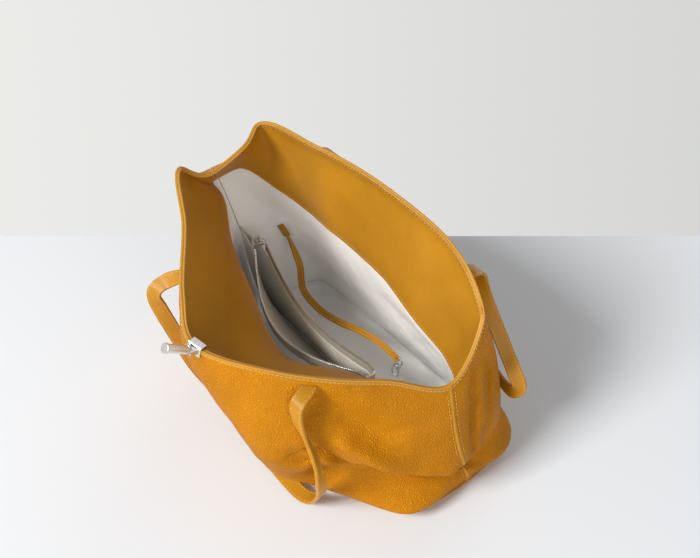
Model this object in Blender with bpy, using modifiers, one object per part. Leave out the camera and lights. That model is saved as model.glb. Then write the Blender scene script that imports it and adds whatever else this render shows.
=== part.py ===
"""A soft leather tote bag, open at the top.

Front and back panels are sewn together at the middle of each side and to a base panel.
A smooth facing lines the top of each panel, a cotton lining hangs below it, and a zip
pocket divides the inside. Two strap handles pass through slots in the panels, a key leash
with a snap hook is sewn to the back lining, and a steel clasp sits on the front rim.

+X is the bag's right as seen from its front, -Y is the front, +Z is up, and the origin is
on the floor under the middle of the base. Metres.
"""

import math
from functools import lru_cache

import bmesh
import bpy
import numpy as np
from mathutils import Matrix, Vector

# Bag
BASE_WIDTH = 0.330
BASE_DEPTH = 0.150
RIM_HEIGHT = 0.270
BASE_CORNER_RADIUS = 0.016
BASE_FRONT_BOW = 0.030
BASE_BACK_BOW = 0.004
BASE_RIGHT_BOW = 0.009

# Leather, lining and board thicknesses, and the gaps between layers
HIDE_THICKNESS = 0.0016
FACING_THICKNESS = 0.0010
LINING_THICKNESS = 0.0008
POCKET_THICKNESS = 0.0010
BOARD_THICKNESS = 0.0020
LAYER_GAP = 0.0012
FACING_SEAM_GAP = 0.0010
LAP_GAP = 0.0009
SEAT_GAP = 0.0003
LINING_INSET = 0.0042
BOARD_MARGIN = 0.0022

# Side seams, rim band and the lap of the lining behind the facing
WELT_WIDTH = 0.0042
WELT_THICKNESS = 0.0024
WELT_PROUD = 0.0010
WELT_GAP = 0.0010
RIM_BAND = 0.012
FACING_LAP = 0.008

# Zip pocket
POCKET_LEFT_HEIGHT = 0.130
POCKET_RIGHT_HEIGHT = 0.078
POCKET_BOTTOM_HEIGHT = 0.034
POCKET_SHIFT = 0.018
POCKET_SIDE_GAP = 0.0016
POCKET_CELLS = 12
POCKET_LEVEL_SHARES = (0.0, 0.2, 0.4, 0.6, 0.8, 1.0)
POCKET_LEAN_SHARE = 0.4
POCKET_CLOSING_POWER = 0.8
ZIP_OPENING_BOW = 0.030
ZIP_LENGTH = 0.218
ZIP_START_SHARE = 0.11
ZIP_START_SHIFT_SHARE = 0.15
ZIP_AIM_SHARE = 0.82
ZIP_CELLS = 14
TAPE_WIDTH = 0.009
TAPE_THICKNESS = 0.0008
CHAIN_DIAMETER = 0.0024
SLIDER_LENGTH = 0.0095
SLIDER_WIDTH = 0.0075
SLIDER_HEIGHT = 0.0042
SLIDER_CLEARANCE = 0.0003
SLIDER_STOP_GAP = 0.0008
BRIDGE_WIRE = 0.0006
BRIDGE_LENGTH = 0.0064
ZIP_END_LENGTH = 0.0030
PULL_RING_RADIUS = 0.0052
PULL_RING_WIRE = 0.0009

# Handles
HANDLE_WIDTH = 0.0150
HANDLE_THICKNESS = 0.0032
HANDLE_SPACING = 0.198
HANDLE_LEAD = 0.0050
STRAP_JOINT_GAP = 0.0010
HANDLE_PIVOT_RISE = 0.0024
HANDLE_STEPS = 60
STRAP_END_STEPS = 7
FOLD_ROWS = 3
SLOT_DEPTH_BELOW_RIM = 0.009
SLOT_CLEARANCE = 0.0004
STRAP_END_THICKNESS = 0.0024
STRAP_END_REACH = 0.016
STRAP_BEND_SHARES = (0.35, -0.22, 0.42)
STRAP_TIP_SHARES = (1.0, -0.62, 0.72)
STRAP_END_LEAN_SHARES = {"front_left": 0.0, "front_right": -0.55, "back_left": 0.0,
                         "back_right": 0.0}

# Key leash and snap hook
LEASH_WIDTH = 0.0080
LEASH_THICKNESS = 0.0024
LEASH_STANDOFF = 0.0004
LEASH_LEAD = 0.0030
LEASH_PIVOT_RISE = 0.0014
LEASH_HOLE_INSET = 0.0034
LEASH_STEPS = 40
EYE_RADIUS = 0.0046
EYE_WIRE = 0.0009
EYE_CLEARANCE = 0.0005
STEM_LENGTH = 0.0040
COLLAR_RADIUS = 0.0030
COLLAR_HEIGHT = 0.0040
HOOK_WIRE = 0.0012
HOOK_BOW_RADIUS = 0.0050
HOOK_LENGTH = 0.0210
HOOK_BOW_CELLS = 8
GATE_WIRE = 0.0009
GATE_LENGTH = 0.0074
GATE_BOSS_RADIUS = 0.0014
GATE_BOSS_LENGTH = 0.0016
GATE_EAR_THICKNESS = 0.0007
GATE_PIN_RADIUS = 0.0005
PIN_CLEARANCE = 0.0003

# Clasp
CLIP_LENGTH = 0.0150
CLIP_DEPTH = 0.0095
CLIP_WALL = 0.0012
CLIP_CLEARANCE = 0.0011
EAR_THICKNESS = 0.0016
EAR_REACH = 0.0066
EAR_HEIGHT = 0.0056
CLASP_PIN_RADIUS = 0.0010
CLASP_PIVOT_REACH = 0.0042
TONGUE_THICKNESS = 0.0070
TONGUE_RADIUS = 0.0024
TONGUE_LENGTH = 0.0044
BAR_RADIUS = 0.0043
BAR_LENGTH = 0.0225
CAP_RADIUS = 0.0050
CAP_HEIGHT = 0.0028
METAL_EDGE = 0.0005
CUT_OVERRUN = 0.0020
WELD_DISTANCE = 0.00004

FLAT_WIDTH = BASE_WIDTH + BASE_DEPTH
HALF_WIDTH = BASE_WIDTH / 2
HALF_DEPTH = BASE_DEPTH / 2
PANEL_COLUMNS = 25
STACK_TOP = HIDE_THICKNESS + BOARD_THICKNESS + LINING_THICKNESS + 2 * SEAT_GAP

# Places round the bag, as shares of its flat width: 0 is the left side seam, 1 the right
# side seam and 2 the left again, so 0.5 is the middle of the front
STATION_SHARES = (0.0, 0.094, 0.21, 0.354, 0.5, 0.645, 0.77, 0.875,
                  1.0, 1.125, 1.23, 1.375, 1.52, 1.72, 1.875, 1.944)

# The outer skin at each station, from just above the floor to the rim, as shares of the
# half width, the half depth and the rim height
FOOT_SHARES = (
    (-1.055, 0.0, 0.09), (-1.055, -0.69, 0.09), (-0.85, -1.28, 0.09), (-0.44, -1.57, 0.09),
    (0.0, -1.75, 0.08), (0.45, -1.79, 0.065), (0.75, -1.55, 0.085), (1.05, -1.08, 0.07),
    (1.08, -0.08, 0.08), (1.09, 0.68, 0.075), (0.93, 1.07, 0.075), (0.42, 1.08, 0.075),
    (-0.09, 1.07, 0.075), (-0.545, 1.05, 0.075), (-1.04, 0.85, 0.08), (-1.055, 0.35, 0.09))
TUCK_SHARES = (
    (-1.11, -0.03, 0.26), (-1.09, -0.77, 0.26), (-0.84, -1.36, 0.26), (-0.44, -1.73, 0.24),
    (0.01, -1.95, 0.185), (0.45, -2.11, 0.155), (0.665, -1.60, 0.235), (0.92, -0.88, 0.18),
    (0.99, -0.16, 0.195), (1.03, 0.43, 0.18), (0.91, 0.91, 0.18), (0.42, 1.05, 0.19),
    (-0.06, 1.04, 0.20), (-0.53, 1.01, 0.21), (-1.07, 0.77, 0.22), (-1.10, 0.29, 0.245))
LIP_SHARES = (
    (-1.20, -0.14, 0.41), (-1.115, -0.85, 0.41), (-0.82, -1.41, 0.41), (-0.44, -1.91, 0.37),
    (0.01, -2.19, 0.30), (0.45, -2.35, 0.27), (0.70, -1.79, 0.305), (0.895, -1.11, 0.24),
    (1.11, -0.28, 0.22), (1.07, 0.35, 0.26), (0.93, 0.80, 0.29), (0.45, 0.99, 0.33),
    (-0.02, 0.96, 0.36), (-0.53, 0.91, 0.37), (-1.09, 0.64, 0.38), (-1.14, 0.21, 0.40))
BELLY_SHARES = (
    (-1.27, -0.25, 0.565), (-1.13, -0.93, 0.555), (-0.80, -1.47, 0.555), (-0.41, -2.08, 0.50),
    (0.0, -2.40, 0.415), (0.44, -2.48, 0.385), (0.715, -1.87, 0.355), (0.91, -1.27, 0.33),
    (1.11, -0.37, 0.31), (1.04, 0.29, 0.385), (0.93, 0.69, 0.43), (0.47, 0.88, 0.49),
    (0.01, 0.84, 0.53), (-0.52, 0.75, 0.54), (-1.10, 0.48, 0.55), (-1.16, 0.08, 0.555))
CHEST_SHARES = (
    (-1.29, -0.42, 0.72), (-1.11, -1.04, 0.69), (-0.75, -1.57, 0.685), (-0.37, -2.25, 0.62),
    (0.0, -2.59, 0.525), (0.42, -2.48, 0.50), (0.69, -1.81, 0.47), (0.87, -1.24, 0.44),
    (1.07, -0.40, 0.41), (0.99, 0.25, 0.50), (0.91, 0.59, 0.57), (0.49, 0.75, 0.645),
    (0.04, 0.69, 0.70), (-0.52, 0.59, 0.70), (-1.10, 0.32, 0.70), (-1.22, -0.08, 0.71))
COLLAR_SHARES = (
    (-1.13, -0.66, 0.83), (-1.04, -1.23, 0.845), (-0.68, -1.76, 0.815), (-0.31, -2.41, 0.73),
    (0.0, -2.69, 0.64), (0.44, -2.29, 0.61), (0.67, -1.71, 0.58), (0.825, -1.15, 0.54),
    (1.03, -0.39, 0.50), (0.96, 0.25, 0.62), (0.87, 0.48, 0.70), (0.51, 0.61, 0.79),
    (0.07, 0.55, 0.85), (-0.52, 0.43, 0.865), (-1.06, 0.16, 0.86), (-1.09, -0.24, 0.845))
RIM_SHARES = (
    (-0.90, -0.97, 0.93), (-0.92, -1.44, 1.0), (-0.58, -1.89, 0.93), (-0.24, -2.44, 0.83),
    (0.02, -2.65, 0.74), (0.40, -2.13, 0.71), (0.64, -1.57, 0.68), (0.79, -1.01, 0.64),
    (0.98, -0.36, 0.59), (0.91, 0.29, 0.73), (0.83, 0.37, 0.83), (0.53, 0.49, 0.93),
    (0.10, 0.40, 1.0), (-0.53, 0.27, 1.01), (-1.02, 0.0, 0.995), (-0.92, -0.41, 0.97))
OUTER_LEVEL_SHARES = (FOOT_SHARES, TUCK_SHARES, LIP_SHARES, BELLY_SHARES, CHEST_SHARES,
                      COLLAR_SHARES, RIM_SHARES)

# The lining hangs inside the outer skin on its own line: low, middle, and the facing's edge
LOW_LINING_SHARES = (
    (-1.04, -0.11, 0.185), (-0.99, -0.61, 0.185), (-0.79, -0.99, 0.185), (-0.42, -1.17, 0.185),
    (-0.01, -1.31, 0.17), (0.39, -1.25, 0.155), (0.69, -1.01, 0.15), (0.85, -0.67, 0.14),
    (0.92, -0.11, 0.12), (0.92, 0.48, 0.125), (0.76, 0.72, 0.14), (0.38, 0.77, 0.155),
    (-0.10, 0.80, 0.17), (-0.53, 0.83, 0.18), (-0.93, 0.72, 0.185), (-1.0, 0.35, 0.20))
MID_LINING_SHARES = (
    (-1.115, -0.27, 0.44), (-0.99, -0.61, 0.465), (-0.775, -0.93, 0.43), (-0.42, -1.15, 0.39),
    (-0.04, -1.31, 0.355), (0.27, -1.28, 0.32), (0.545, -0.99, 0.295), (0.75, -0.61, 0.26),
    (0.88, -0.21, 0.20), (0.87, 0.24, 0.26), (0.75, 0.45, 0.31), (0.41, 0.48, 0.355),
    (-0.01, 0.51, 0.39), (-0.485, 0.56, 0.40), (-0.91, 0.51, 0.41), (-1.07, 0.13, 0.48))
FACING_EDGE_SHARES = (
    (-1.20, -0.45, 0.71), (-1.0, -0.65, 0.71), (-0.76, -0.96, 0.645), (-0.40, -1.2, 0.57),
    (-0.07, -1.41, 0.505), (0.13, -1.31, 0.45), (0.34, -0.85, 0.415), (0.57, -0.48, 0.355),
    (0.86, -0.32, 0.29), (0.84, 0.08, 0.39), (0.72, 0.15, 0.48), (0.42, 0.16, 0.555),
    (0.09, 0.21, 0.63), (-0.44, 0.32, 0.64), (-0.90, 0.32, 0.645), (-1.12, -0.16, 0.73))
INNER_LEVEL_SHARES = (LOW_LINING_SHARES, MID_LINING_SHARES, FACING_EDGE_SHARES)

# Where a handle hangs and how its width points there: places are shares of the half width,
# the half depth and the rim height, from the left strap end to the right one
FRONT_HANDLE_ROUTE_SHARES = (
    (-0.449, -2.625, 0.785), (-0.458, -2.552, 0.711), (-0.438, -2.476, 0.622),
    (-0.405, -2.377, 0.511), (-0.345, -2.28, 0.40), (-0.28, -2.12, 0.28),
    (-0.20, -1.97, 0.165), (-0.08, -1.90, 0.085), (0.08, -1.91, 0.055),
    (0.336, -1.954, 0.050), (0.501, -1.926, 0.035), (0.575, -1.87, 0.045),
    (0.668, -1.90, 0.145), (0.742, -2.03, 0.30), (0.738, -2.07, 0.402),
    (0.687, -2.09, 0.477), (0.629, -2.14, 0.550))
FRONT_HANDLE_TURNS = (
    (0.95, 0.20, -0.35), (0.55, 0.75, 0.20), (0.34, 0.88, 0.34),
    (0.30, 0.90, 0.34), (0.20, 0.93, 0.30), (0.12, 0.95, 0.25),
    (0.05, 0.98, 0.20), (0.0, 1.0, 0.15), (0.0, 1.0, 0.15),
    (0.0, 1.0, 0.15), (0.0, 1.0, 0.15), (-0.05, 1.0, 0.10),
    (-0.20, 0.95, 0.0), (-0.45, 0.85, 0.0), (-0.70, 0.70, 0.0),
    (-0.85, 0.50, 0.0), (-0.97, 0.0, 0.0))
BACK_HANDLE_ROUTE_SHARES = (
    (-0.485, 0.76, 0.845), (-0.33, 0.84, 0.72), (-0.09, 0.93, 0.58), (0.19, 1.02, 0.455),
    (0.485, 1.04, 0.368), (0.745, 0.98, 0.327), (0.91, 0.89, 0.315), (1.005, 0.84, 0.328),
    (1.05, 0.85, 0.372), (1.0, 0.845, 0.425), (0.91, 0.885, 0.475), (0.825, 0.87, 0.555),
    (0.757, 0.83, 0.637), (0.70, 0.76, 0.737))
BACK_HANDLE_TURNS = (
    (-0.85, 0.0, -0.50), (-0.70, 0.0, -0.72), (-0.62, 0.0, -0.78), (-0.50, 0.0, -0.87),
    (-0.35, 0.0, -0.94), (-0.15, 0.0, -0.99), (0.10, -0.05, -0.99), (0.45, -0.10, -0.88),
    (0.85, 0.45, -0.20), (0.55, 0.80, 0.25), (0.40, 0.85, 0.32), (0.40, 0.86, 0.32),
    (0.55, 0.78, 0.28), (0.80, 0.52, 0.15))

# The key leash: where its sewn end starts and folds on the back lining, as shares of the
# flat width and the rim height, then the strap's line and the way its width runs
LEASH_TOP_SHARES = (1.919, 0.447)
LEASH_FOLD_SHARES = (1.914, 0.392)
LEASH_LIFT_SHARES = (-0.35, -0.92, -0.15)
LEASH_ROUTE_SHARES = (
    (-0.79, 0.265, 0.315), (-0.73, 0.215, 0.204), (-0.51, 0.16, 0.19), (-0.30, 0.155, 0.215),
    (-0.073, 0.16, 0.263), (0.145, 0.16, 0.29), (0.31, 0.16, 0.278))
LEASH_TURNS = (
    (0.65, 0.76, 0.0), (0.40, 0.85, 0.30), (0.0, 0.90, 0.40), (0.0, 0.90, 0.40),
    (0.0, 0.95, 0.25), (0.0, 1.0, 0.0), (0.0, 1.0, 0.0))

# Which way the hook hangs from the leash, and its outline from the top of the collar, as
# shares of its bow's radius and of its length
HOOK_HANG_SHARES = (-0.25, 0.0, -0.97)
HOOK_LINE_SHARES = ((0.0, 0.143), (-0.35, 0.238), (-0.85, 0.343), (-1.0, 0.476))
HOOK_TIP_SHARE = 0.643
HOOK_HINGE_SHARES = (0.42, 0.267)
GATE_REST_ANGLE = math.radians(20)

# The clasp sits at the middle of the front rim; its ears are turned a little to the left,
# and its bar rests lifted from straight out
CLASP_SHARE = 0.5
CLASP_TURN = math.radians(20)
CLASP_LIFT = math.radians(26)
PULL_RING_LIFT = math.radians(28)
HANDLE_MIDDLE_SHARE = 0.515
CORNER_SAMPLES = 9

LEATHER = ("mustard_leather", (0.72, 0.36, 0.03), 0.55, 0.0)
SMOOTH_LEATHER = ("smooth_leather", (0.74, 0.38, 0.04), 0.42, 0.0)
COTTON = ("cream_cotton", (0.72, 0.70, 0.66), 0.9, 0.0)
POCKET_COTTON = ("grey_cotton", (0.45, 0.44, 0.42), 0.9, 0.0)
BOARD = ("grey_board", (0.35, 0.33, 0.30), 0.8, 0.0)
TAPE = ("zip_tape", (0.30, 0.29, 0.27), 0.8, 0.0)
NICKEL = ("nickel", (0.62, 0.62, 0.63), 0.25, 1.0)
STEEL = ("polished_steel", (0.75, 0.75, 0.76), 0.15, 1.0)


def clear_scene():
    """Remove every object, so that the script can be run again."""
    for obj in list(bpy.data.objects):
        bpy.data.objects.remove(obj, do_unlink=True)


def make_collection(name):
    collection = bpy.data.collections.new(name)
    bpy.context.scene.collection.children.link(collection)
    return collection


@lru_cache(maxsize=None)
def material(finish):
    """A Principled material of one finish: name, colour, roughness and metallic."""
    name, colour, roughness, metallic = finish
    made = bpy.data.materials.new(name)
    made.use_nodes = True
    shader = made.node_tree.nodes["Principled BSDF"]
    shader.inputs["Base Color"].default_value = (*colour, 1.0)
    shader.inputs["Roughness"].default_value = roughness
    shader.inputs["Metallic"].default_value = metallic
    return made


def add_object(name, mesh, finish, place=None):
    """Link a mesh as a named piece of the bag, with its finish and its place."""
    obj = bpy.data.objects.new(name, mesh)
    parts.objects.link(obj)
    obj.data.materials.append(material(finish))
    if place is not None:
        obj.matrix_world = place
    return obj


def add_cutter(name, mesh, place=None):
    obj = bpy.data.objects.new(name, mesh)
    cutters.objects.link(obj)
    obj.hide_render = True
    obj.display_type = "WIRE"
    if place is not None:
        obj.matrix_world = place
    return obj


def combine(obj, other, operation):
    """Cut or join a piece with a cutter, which stays in the cutters' collection."""
    boolean = obj.modifiers.new(other.name, "BOOLEAN")
    boolean.operation = operation
    boolean.object = other
    boolean.solver = "EXACT"


def mesh_from(bm, name):
    mesh = bpy.data.meshes.new(name)
    bm.to_mesh(mesh)
    bm.free()
    return mesh


def unit(vector):
    return vector / np.linalg.norm(vector)


def placed(shares):
    """A point, in metres, from shares of the half width, half depth and rim height."""
    return np.array(shares) * (HALF_WIDTH, HALF_DEPTH, RIM_HEIGHT)


def smooth_value(knots, values, at):
    """A smooth curve through values at rising knots, read at one place."""
    knots = np.asarray(knots, dtype=float)
    values = np.asarray(values, dtype=float)
    steps = np.diff(knots)
    slopes = np.diff(values, axis=0) / steps[:, None]
    tangents = np.empty_like(values)
    before, after = steps[:-1, None], steps[1:, None]
    tangents[1:-1] = (slopes[:-1] * after + slopes[1:] * before) / (before + after)
    tangents[0] = 1.5 * slopes[0] - 0.5 * tangents[1]
    tangents[-1] = 1.5 * slopes[-1] - 0.5 * tangents[-2]
    i = int(np.clip(np.searchsorted(knots, at, side="right") - 1, 0, len(steps) - 1))
    h = steps[i]
    t = (at - knots[i]) / h
    return ((1 + 2 * t) * (1 - t) ** 2 * values[i] + t * (1 - t) ** 2 * h * tangents[i]
            + t * t * (3 - 2 * t) * values[i + 1] + t * t * (t - 1) * h * tangents[i + 1])


def chord_knots(points):
    """Knots spaced by the square root of each chord, which keeps a curve from looping."""
    steps = np.sqrt(np.linalg.norm(np.diff(points, axis=0), axis=1))
    return np.concatenate(([0.0], np.cumsum(steps)))


def ring_value(level_shares, share):
    """A closed level of the bag, read at a share of the flat width from 0 to 2."""
    reach = 3
    count = len(STATION_SHARES)
    knots = [STATION_SHARES[i % count] + 2 * (i // count) for i in range(-reach, count + reach)]
    values = [placed(level_shares[i % count]) for i in range(-reach, count + reach)]
    return smooth_value(knots, values, share % 2)


def base_edge(share):
    """The base's outline at a share of the flat width: a bowed, rounded rectangle."""
    total = np.zeros(2)
    for k in range(CORNER_SAMPLES):
        shift = BASE_CORNER_RADIUS * (2 * k / (CORNER_SAMPLES - 1) - 1)
        walked = (share * FLAT_WIDTH + shift) % (2 * FLAT_WIDTH)
        total += rectangle_point(walked)
    x, y = total / CORNER_SAMPLES
    across = 1 - (x / HALF_WIDTH) ** 2
    along = 1 - (y / HALF_DEPTH) ** 2
    y += BASE_BACK_BOW * across * max(y / HALF_DEPTH, 0)
    y -= BASE_FRONT_BOW * across * max(-y / HALF_DEPTH, 0)
    x += BASE_RIGHT_BOW * along * max(x / HALF_WIDTH, 0)
    return np.array((x, y))


def rectangle_point(walked):
    """A point on the base's sharp rectangle, walked from the middle of its left side."""
    if walked < HALF_DEPTH:
        return np.array((-HALF_WIDTH, -walked))
    if walked < HALF_DEPTH + BASE_WIDTH:
        return np.array((walked - HALF_DEPTH - HALF_WIDTH, -HALF_DEPTH))
    if walked < FLAT_WIDTH + HALF_DEPTH:
        return np.array((HALF_WIDTH, walked - FLAT_WIDTH))
    if walked < FLAT_WIDTH + HALF_DEPTH + BASE_WIDTH:
        return np.array((HALF_WIDTH - (walked - FLAT_WIDTH - HALF_DEPTH), HALF_DEPTH))
    return np.array((-HALF_WIDTH, 2 * FLAT_WIDTH - walked))


def base_inset(share, inset):
    """The base's outline moved inwards."""
    step = 1 / PANEL_COLUMNS
    along = unit(base_edge(share + step) - base_edge(share - step))
    return base_edge(share) + inset * np.array((-along[1], along[0]))


# The outer wall's rows, as places between its levels: 0 is the floor, 1 the top of the
# base stack, 2 to 7 the levels below the rim, and 8 the rim; the band row is added
WALL_ROWS = (0, 1, 1.5, 2, 2.33, 2.67, 3, 3.33, 3.67, 4, 4.33, 4.67, 5, 5.5, 6, 6.5, 7)


@lru_cache(maxsize=None)
def wall_rows(share):
    """Points of the outer skin at one place round the bag, from the floor to the rim."""
    x, y = base_edge(share)
    points = [np.array((x, y, 0.0)), np.array((x, y, STACK_TOP))]
    points += [ring_value(level, share) for level in OUTER_LEVEL_SHARES]
    points = np.array(points)
    knots = chord_knots(points)
    last_chord = np.linalg.norm(points[-1] - points[-2])
    rows = WALL_ROWS + (len(points) - 1 - RIM_BAND / last_chord, len(points) - 1)
    at = np.interp(rows, np.arange(len(points)), knots)
    return np.array([smooth_value(knots, points, a) for a in at])


@lru_cache(maxsize=None)
def wall_normals(share):
    """Outward normals of the outer skin at one place round the bag, for the same rows."""
    step = 0.5 / PANEL_COLUMNS
    rows = wall_rows(share % 2)
    across = wall_rows((share + step) % 2) - wall_rows((share - step) % 2)
    up = np.gradient(rows, axis=0)
    return np.array([unit(n) for n in np.cross(across, up)])


def inner_levels(share):
    """The lining's and facing's own line at one place: levels from the floor to the rim."""
    x, y = base_inset(share, LINING_INSET)
    points = [np.array((x, y, STACK_TOP - LINING_THICKNESS))]
    points += [ring_value(level, share) for level in INNER_LEVEL_SHARES]
    depth = HIDE_THICKNESS + LAYER_GAP
    rows, normals = wall_rows(share % 2), wall_normals(share % 2)
    band = rows[-2] - depth * normals[-2]
    points += [(points[-1] + band) / 2, band, rows[-1] - depth * normals[-1]]
    return np.array(points)


# The lining's rows run from the base to its lap behind the facing, and the facing's from
# its lower edge to the rim, as places between the inner levels
LINING_ROWS = (0, 0.5, 1, 1.5, 2, 2.5, 3)
FACING_ROWS = (3.5, 4, 4.5, 5, 6)


@lru_cache(maxsize=None)
def inner_rows(share):
    """Points of the inner line: the lining's rows, the lap row, then the facing's rows."""
    points = inner_levels(share)
    knots = chord_knots(points)
    facing_chord = np.linalg.norm(points[4] - points[3])
    rows = LINING_ROWS + (3 + FACING_LAP / facing_chord,) + FACING_ROWS
    at = np.interp(rows, np.arange(len(points)), knots)
    return np.array([smooth_value(knots, points, a) for a in at])


@lru_cache(maxsize=None)
def inner_normals(share):
    step = 0.5 / PANEL_COLUMNS
    rows = inner_rows(share % 2)
    across = inner_rows((share + step) % 2) - inner_rows((share - step) % 2)
    up = np.gradient(rows, axis=0)
    return np.array([unit(n) for n in np.cross(across, up)])


def inner_at_height(share, height):
    """A point on the lining's inner face at a height, and the way out of the bag there."""
    rows, normals = inner_rows(share % 2), inner_normals(share % 2)
    heights = rows[:, 2]
    point = np.array([np.interp(height, heights, rows[:, k]) for k in range(3)])
    normal = np.array([np.interp(height, heights, normals[:, k]) for k in range(3)])
    return point, unit(normal)


def columns(start, end, edge_gap):
    """Shares from one seam to the next, held back from each seam by a gap in metres."""
    inner = [start + (end - start) * i / PANEL_COLUMNS for i in range(1, PANEL_COLUMNS)]
    held = edge_gap / FLAT_WIDTH
    return [start + held] + inner + [end - held]


def sheet(name, lattice, thickness, finish, offset=-1.0):
    """A sheet of one thickness over a lattice of points, given column by column.

    Faces point along columns crossed with rows; offset -1 puts the thickness behind them."""
    column_count, row_count = len(lattice), len(lattice[0])
    bm = bmesh.new()
    grid = bmesh.ops.create_grid(bm, x_segments=column_count - 1, y_segments=row_count - 1,
                                 size=1)
    verts = sorted(grid["verts"], key=lambda v: (round(v.co.y, 5), round(v.co.x, 5)))
    for index, vert in enumerate(verts):
        row, column = divmod(index, column_count)
        vert.co = Vector(lattice[column][row])
    bm.normal_update()
    obj = add_object(name, mesh_from(bm, name), finish)
    solidify = obj.modifiers.new("thickness", "SOLIDIFY")
    solidify.thickness = thickness
    solidify.offset = offset
    obj.data.shade_smooth()
    return obj


def offset_lattice(point_rows, normal_rows, shares, first, last, distance):
    """Rows first to last of a wall, moved along its normals, column by column."""
    lattice = []
    for share in shares:
        points, normals = point_rows(share % 2), normal_rows(share % 2)
        lattice.append(points[first:last + 1] + distance * normals[first:last + 1])
    return lattice


def make_panels():
    """The outer leather, cut by the four slots that the handles pass through."""
    edge_gap = WELT_WIDTH / 2 + WELT_GAP
    last = len(WALL_ROWS) + 1
    for name, start, end in (("front_panel", 0.0, 1.0), ("back_panel", 1.0, 2.0)):
        shares = columns(start, end, edge_gap)
        lattice = offset_lattice(wall_rows, wall_normals, shares, 0, last, 0.0)
        panel = sheet(name, lattice, HIDE_THICKNESS, LEATHER)
        for side in (-1, 1):
            cut_slot(panel, handle_share(start, side))


def make_welts():
    """The raised strip down each side seam, between the panels' edges."""
    half = WELT_WIDTH / 2 / FLAT_WIDTH
    last = len(WALL_ROWS) + 1
    for name, seam in (("left_seam_welt", 0.0), ("right_seam_welt", 1.0)):
        shares = (seam - half, seam + half)
        lattice = offset_lattice(wall_rows, wall_normals, shares, 0, last, WELT_PROUD)
        sheet(name, lattice, WELT_THICKNESS, SMOOTH_LEATHER)


def make_facings_and_linings():
    lap_row = len(LINING_ROWS)
    last = lap_row + len(FACING_ROWS)
    for side, start in (("front", 0.0), ("back", 1.0)):
        shares = columns(start, start + 1, FACING_SEAM_GAP)
        facing = offset_lattice(inner_rows, inner_normals, shares, lap_row - 1, last, 0.0)
        sheet(side + "_facing", facing, FACING_THICKNESS, SMOOTH_LEATHER)
        lining = offset_lattice(inner_rows, inner_normals, shares, 0, lap_row,
                                LAP_GAP + LINING_THICKNESS)
        sheet(side + "_lining", lining, LINING_THICKNESS, COTTON)


def make_base():
    """The base panel, the stiffener board on it, and the base lining on the board."""
    layers = (
        ("base_panel", HIDE_THICKNESS + SEAT_GAP, 0.0, HIDE_THICKNESS, LEATHER),
        ("base_board", HIDE_THICKNESS + SEAT_GAP + BOARD_MARGIN, HIDE_THICKNESS + SEAT_GAP,
         BOARD_THICKNESS, BOARD),
        ("base_lining", LINING_INSET + SEAT_GAP,
         HIDE_THICKNESS + BOARD_THICKNESS + 2 * SEAT_GAP, LINING_THICKNESS, COTTON))
    for name, inset, bottom, thickness, finish in layers:
        count = 2 * PANEL_COLUMNS
        outline = [base_inset(2 * i / count, inset) for i in range(count)]
        flat_plate(name, outline, bottom, thickness, finish)


def flat_plate(name, outline, bottom, thickness, finish):
    """A flat plate: a filled 2D curve with its thickness, made a mesh with welded caps."""
    curve = bpy.data.curves.new(name, "CURVE")
    curve.dimensions = "2D"
    curve.fill_mode = "BOTH"
    curve.extrude = thickness / 2
    spline = curve.splines.new("POLY")
    spline.points.add(len(outline) - 1)
    for point, place in zip(spline.points, outline):
        point.co = (place[0], place[1], 0.0, 1.0)
    spline.use_cyclic_u = True
    mesh = mesh_of_curve(curve)
    return add_object(name, mesh, finish, Matrix.Translation((0, 0, bottom + thickness / 2)))


def mesh_of_curve(curve):
    """A curve's solid as a mesh with its caps welded on."""
    holder = bpy.data.objects.new(curve.name, curve)
    bpy.context.scene.collection.objects.link(holder)
    graph = bpy.context.evaluated_depsgraph_get()
    mesh = bpy.data.meshes.new_from_object(holder.evaluated_get(graph))
    bpy.data.objects.remove(holder, do_unlink=True)
    bm = bmesh.new()
    bm.from_mesh(mesh)
    bmesh.ops.remove_doubles(bm, verts=bm.verts, dist=WELD_DISTANCE)
    bmesh.ops.recalc_face_normals(bm, faces=bm.faces)
    bm.to_mesh(mesh)
    bm.free()
    mesh.materials.clear()
    return mesh


def wire_mesh(name, points, radius, resolution=2, closed=False):
    """A round wire along points: a bevelled curve with filled caps, as a mesh."""
    curve = bpy.data.curves.new(name, "CURVE")
    curve.dimensions = "3D"
    curve.bevel_depth = radius
    curve.bevel_resolution = resolution
    curve.use_fill_caps = not closed
    spline = curve.splines.new("POLY")
    spline.points.add(len(points) - 1)
    for point, at in zip(spline.points, points):
        point.co = (*at, 1.0)
    spline.use_cyclic_u = closed
    mesh = mesh_of_curve(curve)
    mesh.shade_smooth()
    return mesh


def ring_points(radius, count=24):
    """A circle in the XZ plane."""
    turns = [2 * math.pi * i / count for i in range(count)]
    return [(radius * math.cos(t), 0.0, radius * math.sin(t)) for t in turns]


def box_mesh(name, size, centre=(0, 0, 0)):
    bm = bmesh.new()
    bmesh.ops.create_cube(bm, size=1)
    bmesh.ops.scale(bm, vec=size, verts=bm.verts)
    bmesh.ops.translate(bm, vec=centre, verts=bm.verts)
    return mesh_from(bm, name)


def cylinder_mesh(name, radius, length, segments=24, place=None):
    """A cylinder about its own Z axis, standing on its origin."""
    bm = bmesh.new()
    bmesh.ops.create_cone(bm, cap_ends=True, segments=segments, radius1=radius, radius2=radius,
                          depth=length)
    bmesh.ops.translate(bm, vec=(0, 0, length / 2), verts=bm.verts)
    if place is not None:
        bm.transform(place)
    return mesh_from(bm, name)


def round_edges(obj, width, segments=2):
    bevel = obj.modifiers.new("edges", "BEVEL")
    bevel.width = width
    bevel.segments = segments
    bevel.limit_method = "ANGLE"
    obj.data.shade_smooth()
    obj.data.set_sharp_from_angle(angle=math.radians(40))


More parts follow.
